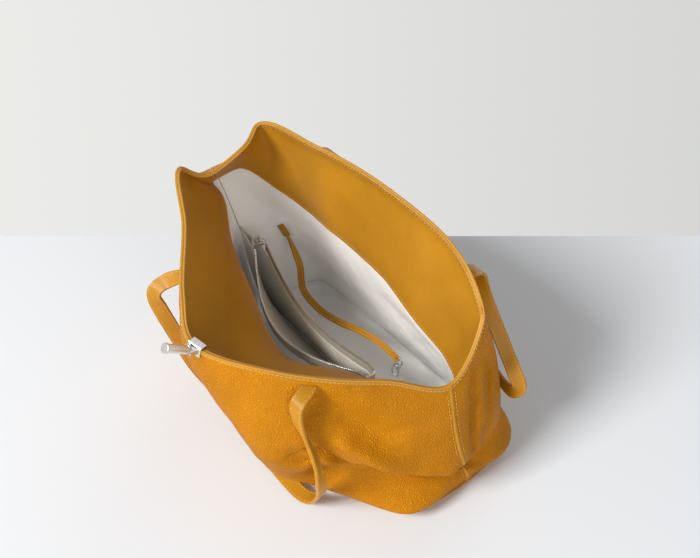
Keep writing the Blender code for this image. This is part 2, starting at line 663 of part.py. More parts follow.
def frame(origin, x_axis, z_axis):
    """A placing matrix whose Z runs along z_axis and whose X is as near x_axis as it can."""
    z = Vector(z_axis).normalized()
    y = z.cross(Vector(x_axis)).normalized()
    x = y.cross(z)
    matrix = Matrix((x, y, z)).transposed().to_4x4()
    matrix.translation = Vector(origin)
    return matrix


def handle_share(start, side):
    """Where a handle's strap end passes through its panel."""
    return start + HANDLE_MIDDLE_SHARE + side * HANDLE_SPACING / 2 / FLAT_WIDTH


@lru_cache(maxsize=None)
def slot_frame(share):
    """The slot's place on the outer skin: X along the rim, Z out of the bag."""
    rows, normals = wall_rows(share % 2), wall_normals(share % 2)
    down = SLOT_DEPTH_BELOW_RIM / np.linalg.norm(rows[-1] - rows[-2])
    place = rows[-1] + down * (rows[-2] - rows[-1])
    step = 0.5 / PANEL_COLUMNS
    along = wall_rows((share + step) % 2)[-2] - wall_rows((share - step) % 2)[-2]
    return frame(place, along, normals[-2])


def cut_slot(panel, share):
    width = HANDLE_WIDTH + 2 * SLOT_CLEARANCE
    name = "slot_" + panel.name + "_" + str(round(share, 2))
    height = STRAP_END_THICKNESS + 2 * SLOT_CLEARANCE
    mesh = box_mesh(name, (width, height, HIDE_THICKNESS * 2 + 2 * CUT_OVERRUN))
    combine(panel, add_cutter(name, mesh, slot_frame(share)), "DIFFERENCE")


def strap_end_points(share, lean):
    """The strap end's middle line: from inside the slot, out and down, clear of the skin.

    The lean is how far the tip stands to the side, as a share of the strap end's reach."""
    place = slot_frame(share)
    inside = place @ Vector((0, 0, -HIDE_THICKNESS))
    mouth = place @ Vector((0, 0, HIDE_THICKNESS))
    line = [inside, mouth]
    for aside, down, out in (STRAP_BEND_SHARES, STRAP_TIP_SHARES):
        line.append(place @ (STRAP_END_REACH * Vector((aside * lean, down, out))))
    return line


def slant_end(lattice, first, inward, fold_line):
    """Turn a strap's end rows so that the last one lies along its fold line."""
    for row in range(FOLD_ROWS):
        index = first + inward * row
        near = first + inward * (row + 1)
        low, high = lattice[0][index], lattice[1][index]
        way = unit((lattice[0][near] + lattice[1][near]) - (low + high))
        half = (high - low) / 2
        across = np.dot(fold_line, unit(half))
        slide = way * np.linalg.norm(half) * np.dot(fold_line, way) / across
        fade = 1 - row / FOLD_ROWS
        lattice[0][index] = low - slide * fade
        lattice[1][index] = high + slide * fade


def ribbon(name, points, widths, width, thickness, finish, steps, folds=(None, None)):
    """A flat strap along a smooth line; each point has the way that its width runs.

    An end that folds on a hinge is cut along the hinge's line."""
    points = np.array([tuple(p) for p in points])
    widths = np.array([tuple(w) for w in widths])
    knots = chord_knots(points)
    lattice = [[], []]
    places = np.linspace(knots[0], knots[-1], steps)
    for at in places:
        middle = smooth_value(knots, points, at)
        ahead = smooth_value(knots, points, min(at + SEAT_GAP, knots[-1]))
        behind = smooth_value(knots, points, max(at - SEAT_GAP, knots[0]))
        along = unit(ahead - behind)
        across = smooth_value(knots, widths, at)
        across = unit(across - along * np.dot(across, along))
        lattice[0].append(middle - across * width / 2)
        lattice[1].append(middle + across * width / 2)
    for fold_line, first, inward in ((folds[0], 0, 1), (folds[1], steps - 1, -1)):
        if fold_line is not None:
            slant_end(lattice, first, inward, fold_line)
    return sheet(name, lattice, thickness, finish, offset=0.0)


def make_handle(side, start, route_shares, turns):
    """A handle: two short strap ends held in the slots, and the strap that hangs from them."""
    ends = []
    for end, direction in (("left", -1), ("right", 1)):
        share = handle_share(start, direction if start == 0 else -direction)
        name = side + "_" + end
        line = strap_end_points(share, STRAP_END_LEAN_SHARES[name])
        tip, way = np.array(line[-1]), unit(np.array(line[-1] - line[-2]))
        ends.append((name, slot_frame(share).to_3x3(), line, tip, way))
    chord = unit(ends[1][3] - ends[0][3])
    pivots = []
    for name, turn, line, tip, way in ends:
        out = unit(np.cross(chord, way))
        out = out * np.sign(np.dot(out, np.array(turn @ Vector((0, 0, 1)))))
        pivots.append(tip + out * HANDLE_PIVOT_RISE)
    fold_line = unit(pivots[1] - pivots[0])
    for name, turn, line, tip, way in ends:
        across = np.array(turn @ Vector((1, 0, 0)))
        folded = fold_line * np.sign(np.dot(fold_line, across))
        ribbon(name + "_strap_end", line, [across, across, folded, folded], HANDLE_WIDTH,
               STRAP_END_THICKNESS, SMOOTH_LEATHER, STRAP_END_STEPS, (None, folded))
    (left, left_way), (right, right_way) = [(tip, way) for _, _, _, tip, way in ends]
    runs = (STRAP_JOINT_GAP, HANDLE_LEAD / 2, HANDLE_LEAD)
    left_run = [left + left_way * run for run in runs]
    right_run = [right + right_way * run for run in reversed(runs)]
    points = left_run + [placed(s) for s in route_shares] + right_run
    start_line = fold_line * np.sign(np.dot(fold_line, np.array(turns[0])))
    end_line = fold_line * np.sign(np.dot(fold_line, np.array(turns[-1])))
    widths = [start_line] * len(runs) + list(turns) + [end_line] * len(runs)
    handle = ribbon(side + "_handle", points, widths, HANDLE_WIDTH, HANDLE_THICKNESS,
                    SMOOTH_LEATHER, HANDLE_STEPS, (start_line, end_line))
    move_origin(handle, pivots[0])
    show_axis(side + " handle swing", pivots[0], fold_line)


def pocket_mouth():
    """The divider's top line: its ends at the side linings, and the zip's straight run."""
    left, out_left = inner_at_height(0.0, POCKET_LEFT_HEIGHT)
    right, out_right = inner_at_height(1.0, POCKET_RIGHT_HEIGHT)
    left = left - out_left * (POCKET_SIDE_GAP + POCKET_THICKNESS)
    right = right - out_right * (POCKET_SIDE_GAP + POCKET_THICKNESS)
    span = right - left
    shift = np.array((0, -POCKET_SHIFT, 0))
    zip_start = left + ZIP_START_SHARE * span + ZIP_START_SHIFT_SHARE * shift
    along = unit(left + ZIP_AIM_SHARE * span + shift - zip_start)
    return left, zip_start, zip_start + along * ZIP_LENGTH, right


def make_pocket():
    """The divider pocket: two cotton walls that meet at the sides and the bottom."""
    left, zip_start, zip_end, right = pocket_mouth()
    runs = [i / POCKET_CELLS for i in range(POCKET_CELLS + 1)]
    stations = [left] + [zip_start + (zip_end - zip_start) * run for run in runs] + [right]
    swell = [0.0] + [math.sin(math.pi * run) for run in runs] + [0.0]
    seam_half = (POCKET_THICKNESS + SEAT_GAP) / 2
    mouth_half = zip_row_offset()
    for name, way, bow in (("pocket_front_wall", -1, ZIP_OPENING_BOW),
                           ("pocket_back_wall", 1, 0.0)):
        lattice = []
        for index, top in enumerate(stations):
            share = index / (len(stations) - 1)
            open_half = mouth_half if 0 < index < len(stations) - 1 else seam_half
            column = []
            for level in POCKET_LEVEL_SHARES:
                height = top[2] + (POCKET_BOTTOM_HEIGHT - top[2]) * level
                low_left, _ = inner_at_height(0.0, height)
                low_right, _ = inner_at_height(1.0, height)
                edge = POCKET_THICKNESS + POCKET_SIDE_GAP
                low = low_left + (low_right - low_left) * share
                x = top[0] + (low[0] - top[0]) * level
                if index == 0:
                    x = low_left[0] + edge
                if index == len(stations) - 1:
                    x = low_right[0] - edge
                y = top[1] + (low[1] - top[1]) * level * POCKET_LEAN_SHARE
                closing = (1 - level) ** POCKET_CLOSING_POWER
                y += way * (seam_half + (open_half - seam_half) * closing)
                y += way * bow * swell[index] * closing
                column.append(np.array((x, y, height)))
            column.reverse()
            lattice.append(column)
        sheet(name, lattice, POCKET_THICKNESS, POCKET_COTTON, offset=0.0)


def zip_row_offset():
    """How far each row of teeth stays from the slider's line."""
    return SLIDER_WIDTH / 2 + SLIDER_CLEARANCE + CHAIN_DIAMETER / 2


def zip_frame():
    """The slider's place at the left end of its run: X along the zip, Z up."""
    _, start, end, _ = pocket_mouth()
    along = unit(end - start)
    rise = TAPE_WIDTH + 2 * SEAT_GAP + CHAIN_DIAMETER / 2
    middle = start + along * SLIDER_LENGTH / 2 + np.array((0, 0, rise))
    upright = np.array((0, 0, 1)) - along * along[2]
    return frame(middle, along, upright)


def make_zip():
    """Two tapes standing on the pocket's lips, their teeth, and the folded tape ends."""
    _, start, end, _ = pocket_mouth()
    along = unit(end - start)
    first = SLIDER_LENGTH + SLIDER_CLEARANCE
    last = ZIP_LENGTH - ZIP_END_LENGTH - SLIDER_CLEARANCE
    for name, way, bow in (("front", -1, ZIP_OPENING_BOW), ("back", 1, 0.0)):
        tape, chain = [[], []], []
        for i in range(ZIP_CELLS + 1):
            run = first + (last - first) * i / ZIP_CELLS
            lip = start + along * run
            lip = lip + np.array((0, way * zip_row_offset(), 0))
            lip[1] += way * bow * math.sin(math.pi * run / ZIP_LENGTH)
            foot = lip + np.array((0, 0, SEAT_GAP))
            tape[0].append(foot)
            tape[1].append(foot + np.array((0, 0, TAPE_WIDTH)))
            chain.append(foot + np.array((0, 0, TAPE_WIDTH + SEAT_GAP + CHAIN_DIAMETER / 2)))
        sheet("zip_tape_" + name, [tape[0], tape[1]], TAPE_THICKNESS, TAPE, offset=0.0)
        teeth = wire_mesh(name, chain, CHAIN_DIAMETER / 2, resolution=1)
        add_object("zip_teeth_" + name, teeth, NICKEL)
    height = TAPE_WIDTH + CHAIN_DIAMETER
    half = ZIP_END_LENGTH / 2
    for name, run in (("left", -half - SLIDER_STOP_GAP), ("right", ZIP_LENGTH - half)):
        foot = start + along * run + np.array((0, 0, SEAT_GAP + height / 2))
        size = (ZIP_END_LENGTH, 2 * zip_row_offset(), height)
        add_object("zip_end_" + name, box_mesh(name, size), TAPE, frame(foot, along, (0, 0, 1)))


def make_slider():
    """The zip's slider with its bridge, and the pull ring that hangs under the bridge."""
    place = zip_frame()
    body = box_mesh("zip_slider", (SLIDER_LENGTH, SLIDER_WIDTH, SLIDER_HEIGHT))
    slider = add_object("zip_slider", body, NICKEL, place)
    round_edges(slider, METAL_EDGE, 1)
    ring_rise = SLIDER_HEIGHT / 2 + SLIDER_CLEARANCE + PULL_RING_WIRE
    top = ring_rise + PULL_RING_WIRE + SLIDER_CLEARANCE + BRIDGE_WIRE
    half = BRIDGE_LENGTH / 2
    bridge = [(-half, 0, 0), (-half, 0, top - BRIDGE_WIRE), (-half + BRIDGE_WIRE, 0, top),
              (half - BRIDGE_WIRE, 0, top), (half, 0, top - BRIDGE_WIRE), (half, 0, 0)]
    arch = add_cutter("slider_bridge", wire_mesh("slider_bridge", bridge, BRIDGE_WIRE), place)
    combine(slider, arch, "UNION")
    hinge = place @ Matrix.Translation((0, 0, ring_rise))
    reach = Matrix.Translation((PULL_RING_RADIUS, 0, 0))
    lie = Matrix.Rotation(math.pi / 2, 4, "X")
    lift = Matrix.Rotation(-PULL_RING_LIFT, 4, "Y")
    ring = wire_mesh("zip_pull_ring", ring_points(PULL_RING_RADIUS), PULL_RING_WIRE,
                     closed=True)
    ring.transform(reach @ lie)
    add_object("zip_pull_ring", ring, NICKEL, hinge @ lift)
    show_axis("zip slide", place.translation, place.col[0])
    show_axis("pull ring hinge", hinge.translation, place.col[1])


def move_origin(obj, place):
    """Put an unturned object's origin on its joint, and leave its shape where it is."""
    shift = Vector(place) - obj.location
    obj.data.transform(Matrix.Translation(-shift))
    obj.location += shift


def show_axis(name, origin, direction):
    """Print a joint's place, for the bag's record."""
    print(name, [round(v, 5) for v in origin[:3]], [round(v, 5) for v in direction[:3]])


def make_leash():
    """The leash's sewn end on the back lining, and its strap with a hole for the hook's eye."""
    spots = []
    for share, height_share in (LEASH_TOP_SHARES, LEASH_FOLD_SHARES):
        point, out = inner_at_height(share, height_share * RIM_HEIGHT)
        spots.append((point - out * (LEASH_STANDOFF + LEASH_THICKNESS / 2), out))
    (top, _), (fold, fold_out) = spots
    along = unit(fold - top)
    across = unit(np.cross(fold_out, along))
    ribbon("leash_tab", [top, fold], [across, across], LEASH_WIDTH, LEASH_THICKNESS,
           SMOOTH_LEATHER, 2)
    points = [fold + along * reach for reach in (STRAP_JOINT_GAP, LEASH_LEAD)]
    points += [placed(s) for s in LEASH_ROUTE_SHARES]
    strap = ribbon("leash_strap", points, [across] * 2 + list(LEASH_TURNS), LEASH_WIDTH,
                   LEASH_THICKNESS, SMOOTH_LEATHER, LEASH_STEPS)
    way = unit(points[-1] - points[-2])
    hole = Vector(points[-1] - way * LEASH_HOLE_INSET)
    up = np.cross(way, np.array((0.0, 1.0, 0.0)))
    through = frame(hole, way, -up)
    bore = cylinder_mesh("leash_hole", EYE_WIRE + EYE_CLEARANCE, 2 * LEASH_WIDTH, 16,
                         Matrix.Translation((0, 0, -LEASH_WIDTH)))
    combine(strap, add_cutter("leash_hole", bore, through), "DIFFERENCE")
    pivot = fold - fold_out * LEASH_PIVOT_RISE
    move_origin(strap, pivot)
    show_axis("leash lift", pivot, LEASH_LIFT_SHARES)
    return hole + Vector(way) * EYE_RADIUS


def make_hook(eye_centre):
    """The swivel eye held by the leash, and the hook that turns on the eye's stem."""
    hang = Vector(HOOK_HANG_SHARES).normalized()
    eye_place = frame(eye_centre, (0, 1, 0), hang) @ Matrix.Rotation(math.pi / 2, 4, "Z")
    eye = add_object("swivel_eye", wire_mesh("swivel_eye", ring_points(EYE_RADIUS), EYE_WIRE,
                                             closed=True), STEEL, eye_place)
    stem_top = EYE_RADIUS
    stem = cylinder_mesh("eye_stem", EYE_WIRE, STEM_LENGTH + EYE_WIRE, 16,
                         Matrix.Translation((0, 0, stem_top)))
    combine(eye, add_cutter("eye_stem", stem, eye_place), "UNION")
    collar_top = stem_top + EYE_WIRE + EYE_CLEARANCE
    place = eye_place @ Matrix.Translation((0, 0, collar_top))
    body = add_object("hook_body", cylinder_mesh("hook_body", COLLAR_RADIUS, COLLAR_HEIGHT, 24),
                      STEEL, place)
    round_edges(body, METAL_EDGE, 1)
    bow, length = HOOK_BOW_RADIUS, HOOK_LENGTH
    line = [(x * bow, 0, z * length) for x, z in HOOK_LINE_SHARES]
    turns = [math.pi - math.pi * i / HOOK_BOW_CELLS for i in range(HOOK_BOW_CELLS + 1)]
    line += [(bow * math.cos(t), 0, length - bow + bow * math.sin(t)) for t in turns]
    line.append((bow, 0, HOOK_TIP_SHARE * length))
    combine(body, add_cutter("hook_line", wire_mesh("hook_line", line, HOOK_WIRE), place),
            "UNION")
    hinge_x, hinge_z = HOOK_HINGE_SHARES[0] * bow, HOOK_HINGE_SHARES[1] * length
    ear_y = GATE_BOSS_LENGTH / 2 + PIN_CLEARANCE + GATE_EAR_THICKNESS / 2
    ear_height = 2 * (hinge_z + GATE_BOSS_RADIUS - COLLAR_HEIGHT)
    for side in (-1, 1):
        name = "gate_ear_" + str(side)
        ear = box_mesh(name, (2 * GATE_BOSS_RADIUS, GATE_EAR_THICKNESS, ear_height),
                       (hinge_x, side * ear_y, hinge_z + GATE_BOSS_RADIUS - ear_height / 2))
        combine(body, add_cutter(name, ear, place), "UNION")
    across = Matrix.Translation((hinge_x, 0, hinge_z)) @ Matrix.Rotation(-math.pi / 2, 4, "X")
    pin_half = ear_y + GATE_EAR_THICKNESS / 2
    bore = cylinder_mesh("gate_pin_bore", GATE_PIN_RADIUS + PIN_CLEARANCE / 2, 4 * pin_half, 16,
                         Matrix.Translation((0, 0, -2 * pin_half)))
    combine(body, add_cutter("gate_pin_bore", bore, place @ across), "DIFFERENCE")
    stem_bore = cylinder_mesh("stem_bore", EYE_WIRE + PIN_CLEARANCE, 2 * STEM_LENGTH, 16,
                              Matrix.Translation((0, 0, -STEM_LENGTH)))
    combine(body, add_cutter("stem_bore", stem_bore, place), "DIFFERENCE")
    pin = cylinder_mesh("gate_pin", GATE_PIN_RADIUS, 2 * pin_half, 16,
                        Matrix.Translation((0, 0, -pin_half)))
    add_object("gate_pin", pin, STEEL, place @ across)
    boss = cylinder_mesh("hook_gate", GATE_BOSS_RADIUS, GATE_BOSS_LENGTH, 16,
                         Matrix.Translation((0, 0, -GATE_BOSS_LENGTH / 2)))
    gate = add_object("hook_gate", boss, STEEL, place @ across)
    reach = (math.sin(GATE_REST_ANGLE), -math.cos(GATE_REST_ANGLE))
    start = GATE_BOSS_RADIUS / 2
    rod = [(start * reach[0], start * reach[1], 0),
           (GATE_LENGTH * reach[0], GATE_LENGTH * reach[1], 0)]
    combine(gate, add_cutter("gate_rod", wire_mesh("gate_rod", rod, GATE_WIRE),
                             place @ across), "UNION")
    combine(gate, bpy.data.objects["gate_pin_bore"], "DIFFERENCE")
    show_axis("hook swivel", place.translation, place.col[2])
    hinge = place @ across
    show_axis("gate hinge", hinge.translation, hinge.col[2])


def clip_frame():
    """The clip's place on the rim: X along the rim, -Y out of the bag, Z up the wall."""
    half = 0.5 / PANEL_COLUMNS
    before, after = wall_rows(CLASP_SHARE - half), wall_rows(CLASP_SHARE + half)
    middle = (before + after) / 2
    return frame(middle[-1], after[-1] - before[-1], middle[-1] - middle[-2])


def make_clasp():
    """The clip folded over the rim, its pin, and the round bar with a cap that turns on it."""
    place = clip_frame()
    stack = HIDE_THICKNESS + LAYER_GAP + FACING_THICKNESS
    room = stack + 2 * CLIP_CLEARANCE
    depth = CLIP_DEPTH + CLIP_CLEARANCE + CLIP_WALL
    middle_y = stack / 2
    top = CLIP_CLEARANCE + CLIP_WALL
    clip = add_object("clasp_clip", box_mesh(
        "clasp_clip", (CLIP_LENGTH, room + 2 * CLIP_WALL, depth),
        (0, middle_y, top - depth / 2)), STEEL, place)
    round_edges(clip, METAL_EDGE, 1)
    outer_y = -CLIP_CLEARANCE - CLIP_WALL
    pivot_z = -CLIP_DEPTH / 4
    ear_x = TONGUE_THICKNESS / 2 + PIN_CLEARANCE + EAR_THICKNESS / 2
    turned = place @ Matrix.Translation((0, outer_y, pivot_z)) @ Matrix.Rotation(
        -CLASP_TURN, 4, "Z")
    back = ear_x * math.sin(CLASP_TURN) + CLIP_WALL
    for side in (-1, 1):
        name = "clasp_ear_" + str(side)
        ear = box_mesh(name, (EAR_THICKNESS, EAR_REACH + back, EAR_HEIGHT),
                       (side * ear_x, (back - EAR_REACH) / 2, 0))
        combine(clip, add_cutter(name, ear, turned), "UNION")
    channel = box_mesh("clip_channel", (2 * CLIP_LENGTH, room, 2 * CLIP_DEPTH),
                       (0, middle_y, CLIP_CLEARANCE - CLIP_DEPTH))
    combine(clip, add_cutter("clip_channel", channel, place), "DIFFERENCE")
    pivot = turned @ Matrix.Translation((0, -CLASP_PIVOT_REACH, 0))
    sideways = Matrix.Rotation(math.pi / 2, 4, "Y")
    pin_half = ear_x + EAR_THICKNESS / 2
    bore = cylinder_mesh("clasp_pin_bore", CLASP_PIN_RADIUS + PIN_CLEARANCE / 2, 4 * pin_half,
                         20, Matrix.Translation((0, 0, -2 * pin_half)))
    cutter = add_cutter("clasp_pin_bore", bore, pivot @ sideways)
    combine(clip, cutter, "DIFFERENCE")
    pin = cylinder_mesh("clasp_pin", CLASP_PIN_RADIUS, 2 * pin_half, 20,
                        Matrix.Translation((0, 0, -pin_half)))
    add_object("clasp_pin", pin, STEEL, pivot @ sideways)
    lift = pivot @ Matrix.Rotation(-CLASP_LIFT, 4, "X")
    along = Matrix.Rotation(math.pi / 2, 4, "X")
    bar = add_object("clasp_bar", cylinder_mesh(
        "clasp_bar", BAR_RADIUS, BAR_LENGTH, 28,
        along @ Matrix.Translation((0, 0, TONGUE_LENGTH))), STEEL, lift)
    round_edges(bar, METAL_EDGE, 1)
    tongue = box_mesh("clasp_tongue", (TONGUE_THICKNESS, TONGUE_LENGTH + METAL_EDGE,
                                       2 * TONGUE_RADIUS),
                      (0, -(TONGUE_LENGTH + METAL_EDGE) / 2, 0))
    combine(bar, add_cutter("clasp_tongue", tongue, lift), "UNION")
    knuckle = cylinder_mesh("clasp_knuckle", TONGUE_RADIUS, TONGUE_THICKNESS, 28,
                            sideways @ Matrix.Translation((0, 0, -TONGUE_THICKNESS / 2)))
    combine(bar, add_cutter("clasp_knuckle", knuckle, lift), "UNION")
    combine(bar, cutter, "DIFFERENCE")
    cap = cylinder_mesh("clasp_cap", CAP_RADIUS, CAP_HEIGHT, 28, along @ Matrix.Translation(
        (0, 0, TONGUE_LENGTH + BAR_LENGTH + SEAT_GAP)))
    round_edges(add_object("clasp_cap", cap, STEEL, lift), METAL_EDGE, 2)
    show_axis("clasp pivot", pivot.translation, pivot.col[0])


parts = None
cutters = None


def main():
    global parts, cutters
    clear_scene()
    parts = make_collection("tote_bag")
    cutters = make_collection("cutters")
    make_base()
    make_panels()
    make_welts()
    make_facings_and_linings()
    make_handle("front", 0.0, FRONT_HANDLE_ROUTE_SHARES, FRONT_HANDLE_TURNS)
    make_handle("back", 1.0, BACK_HANDLE_ROUTE_SHARES, BACK_HANDLE_TURNS)
    make_pocket()
    make_zip()
    make_slider()
    eye_centre = make_leash()
    make_hook(eye_centre)
    make_clasp()


main()
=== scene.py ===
"""A leather tote bag's looks: its leather, cloth, stitching and metal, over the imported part."""

import math

import bpy
import numpy as np
from mathutils import Matrix, Vector, noise


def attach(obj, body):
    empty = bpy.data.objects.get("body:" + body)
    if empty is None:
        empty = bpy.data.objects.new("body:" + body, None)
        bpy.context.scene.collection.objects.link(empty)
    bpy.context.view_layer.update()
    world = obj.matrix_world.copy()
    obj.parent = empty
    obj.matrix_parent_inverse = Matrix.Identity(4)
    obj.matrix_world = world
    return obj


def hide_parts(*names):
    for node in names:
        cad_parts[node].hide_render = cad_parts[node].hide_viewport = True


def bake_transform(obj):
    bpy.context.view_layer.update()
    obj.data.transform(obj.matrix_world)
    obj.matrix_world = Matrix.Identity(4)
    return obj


bl_info = {
    "name": "Leather tote bag",
    "version": (1, 0, 0),
    "blender": (4, 5, 0),
    "location": "3D View > Sidebar > Tote bag",
    "description": "Makes the leather, cloth and metal of an open tote bag over its part",
    "category": "Add Mesh",
}

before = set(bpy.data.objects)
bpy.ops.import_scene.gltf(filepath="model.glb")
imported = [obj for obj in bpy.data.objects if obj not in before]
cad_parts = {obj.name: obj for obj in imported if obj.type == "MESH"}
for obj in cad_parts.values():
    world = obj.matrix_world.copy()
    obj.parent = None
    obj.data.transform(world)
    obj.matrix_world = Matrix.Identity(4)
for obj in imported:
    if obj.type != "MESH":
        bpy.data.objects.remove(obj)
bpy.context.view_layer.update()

# The bag's sizes, in metres, as its part has them
BASE_WIDTH, BASE_DEPTH, RIM_HEIGHT = 0.330, 0.150, 0.270
HALF_WIDTH, HALF_DEPTH = BASE_WIDTH / 2, BASE_DEPTH / 2
FLAT_WIDTH = BASE_WIDTH + BASE_DEPTH
CORNER_RADIUS, CORNER_SAMPLES = 0.016, 9
FRONT_BOW, BACK_BOW, RIGHT_BOW = 0.030, 0.004, 0.009
HIDE, FACING, LINING, POCKET, BOARD = 0.0016, 0.0010, 0.0008, 0.0010, 0.0020
LAYER_GAP, LAP_GAP, SEAT_GAP = 0.0012, 0.0009, 0.0003
STACK_TOP = HIDE + BOARD + LINING + 2 * SEAT_GAP
LINING_INSET = 0.0042
WELT_WIDTH, WELT_PROUD = 0.0042, 0.0010
RIM_BAND, FACING_LAP = 0.012, 0.008
# Levels of the inner line: the facing's lower edge, and the rim
FACING_LEVEL, INNER_RIM = 3, 6

# Places round the bag, as shares of its flat width: 0 is the left side seam, 1 the right
STATIONS = (0.0, 0.094, 0.21, 0.354, 0.5, 0.645, 0.77, 0.875,
            1.0, 1.125, 1.23, 1.375, 1.52, 1.72, 1.875, 1.944)

# The outer skin's levels, from the foot to the rim, as shares of half width, half depth, height
OUTER_LEVELS = (
    ((-1.055, 0.0, 0.09), (-1.055, -0.69, 0.09), (-0.85, -1.28, 0.09), (-0.44, -1.57, 0.09),
     (0.0, -1.75, 0.08), (0.45, -1.79, 0.065), (0.75, -1.55, 0.085), (1.05, -1.08, 0.07),
     (1.08, -0.08, 0.08), (1.09, 0.68, 0.075), (0.93, 1.07, 0.075), (0.42, 1.08, 0.075),
     (-0.09, 1.07, 0.075), (-0.545, 1.05, 0.075), (-1.04, 0.85, 0.08), (-1.055, 0.35, 0.09)),
    ((-1.11, -0.03, 0.26), (-1.09, -0.77, 0.26), (-0.84, -1.36, 0.26), (-0.44, -1.73, 0.24),
     (0.01, -1.95, 0.185), (0.45, -2.11, 0.155), (0.665, -1.60, 0.235), (0.92, -0.88, 0.18),
     (0.99, -0.16, 0.195), (1.03, 0.43, 0.18), (0.91, 0.91, 0.18), (0.42, 1.05, 0.19),
     (-0.06, 1.04, 0.20), (-0.53, 1.01, 0.21), (-1.07, 0.77, 0.22), (-1.10, 0.29, 0.245)),
    ((-1.20, -0.14, 0.41), (-1.115, -0.85, 0.41), (-0.82, -1.41, 0.41), (-0.44, -1.91, 0.37),
     (0.01, -2.19, 0.30), (0.45, -2.35, 0.27), (0.70, -1.79, 0.305), (0.895, -1.11, 0.24),
     (1.11, -0.28, 0.22), (1.07, 0.35, 0.26), (0.93, 0.80, 0.29), (0.45, 0.99, 0.33),
     (-0.02, 0.96, 0.36), (-0.53, 0.91, 0.37), (-1.09, 0.64, 0.38), (-1.14, 0.21, 0.40)),
    ((-1.27, -0.25, 0.565), (-1.13, -0.93, 0.555), (-0.80, -1.47, 0.555), (-0.41, -2.08, 0.50),
     (0.0, -2.40, 0.415), (0.44, -2.48, 0.385), (0.715, -1.87, 0.355), (0.91, -1.27, 0.33),
     (1.11, -0.37, 0.31), (1.04, 0.29, 0.385), (0.93, 0.69, 0.43), (0.47, 0.88, 0.49),
     (0.01, 0.84, 0.53), (-0.52, 0.75, 0.54), (-1.10, 0.48, 0.55), (-1.16, 0.08, 0.555)),
    ((-1.29, -0.42, 0.72), (-1.11, -1.04, 0.69), (-0.75, -1.57, 0.685), (-0.37, -2.25, 0.62),
     (0.0, -2.59, 0.525), (0.42, -2.48, 0.50), (0.69, -1.81, 0.47), (0.87, -1.24, 0.44),
     (1.07, -0.40, 0.41), (0.99, 0.25, 0.50), (0.91, 0.59, 0.57), (0.49, 0.75, 0.645),
     (0.04, 0.69, 0.70), (-0.52, 0.59, 0.70), (-1.10, 0.32, 0.70), (-1.22, -0.08, 0.71)),
    ((-1.13, -0.66, 0.83), (-1.04, -1.23, 0.845), (-0.68, -1.76, 0.815), (-0.31, -2.41, 0.73),
     (0.0, -2.69, 0.64), (0.44, -2.29, 0.61), (0.67, -1.71, 0.58), (0.825, -1.15, 0.54),
     (1.03, -0.39, 0.50), (0.96, 0.25, 0.62), (0.87, 0.48, 0.70), (0.51, 0.61, 0.79),
     (0.07, 0.55, 0.85), (-0.52, 0.43, 0.865), (-1.06, 0.16, 0.86), (-1.09, -0.24, 0.845)),
    ((-0.90, -0.97, 0.93), (-0.92, -1.44, 1.0), (-0.58, -1.89, 0.93), (-0.24, -2.44, 0.83),
     (0.02, -2.65, 0.74), (0.40, -2.13, 0.71), (0.64, -1.57, 0.68), (0.79, -1.01, 0.64),
     (0.98, -0.36, 0.59), (0.91, 0.29, 0.73), (0.83, 0.37, 0.83), (0.53, 0.49, 0.93),
     (0.10, 0.40, 1.0), (-0.53, 0.27, 1.01), (-1.02, 0.0, 0.995), (-0.92, -0.41, 0.97)),
)
# The lining's levels: low, middle, and the facing's lower edge
INNER_LEVELS = (
    ((-1.04, -0.11, 0.185), (-0.99, -0.61, 0.185), (-0.79, -0.99, 0.185), (-0.42, -1.17, 0.185),
     (-0.01, -1.31, 0.17), (0.39, -1.25, 0.155), (0.69, -1.01, 0.15), (0.85, -0.67, 0.14),
     (0.92, -0.11, 0.12), (0.92, 0.48, 0.125), (0.76, 0.72, 0.14), (0.38, 0.77, 0.155),
     (-0.10, 0.80, 0.17), (-0.53, 0.83, 0.18), (-0.93, 0.72, 0.185), (-1.0, 0.35, 0.20)),
    ((-1.115, -0.27, 0.44), (-0.99, -0.61, 0.465), (-0.775, -0.93, 0.43), (-0.42, -1.15, 0.39),
     (-0.04, -1.31, 0.355), (0.27, -1.28, 0.32), (0.545, -0.99, 0.295), (0.75, -0.61, 0.26),
     (0.88, -0.21, 0.20), (0.87, 0.24, 0.26), (0.75, 0.45, 0.31), (0.41, 0.48, 0.355),
     (-0.01, 0.51, 0.39), (-0.485, 0.56, 0.40), (-0.91, 0.51, 0.41), (-1.07, 0.13, 0.48)),
    ((-1.20, -0.45, 0.71), (-1.0, -0.65, 0.71), (-0.76, -0.96, 0.645), (-0.40, -1.2, 0.57),
     (-0.07, -1.41, 0.505), (0.13, -1.31, 0.45), (0.34, -0.85, 0.415), (0.57, -0.48, 0.355),
     (0.86, -0.32, 0.29), (0.84, 0.08, 0.39), (0.72, 0.15, 0.48), (0.42, 0.16, 0.555),
     (0.09, 0.21, 0.63), (-0.44, 0.32, 0.64), (-0.90, 0.32, 0.645), (-1.12, -0.16, 0.73)),
)

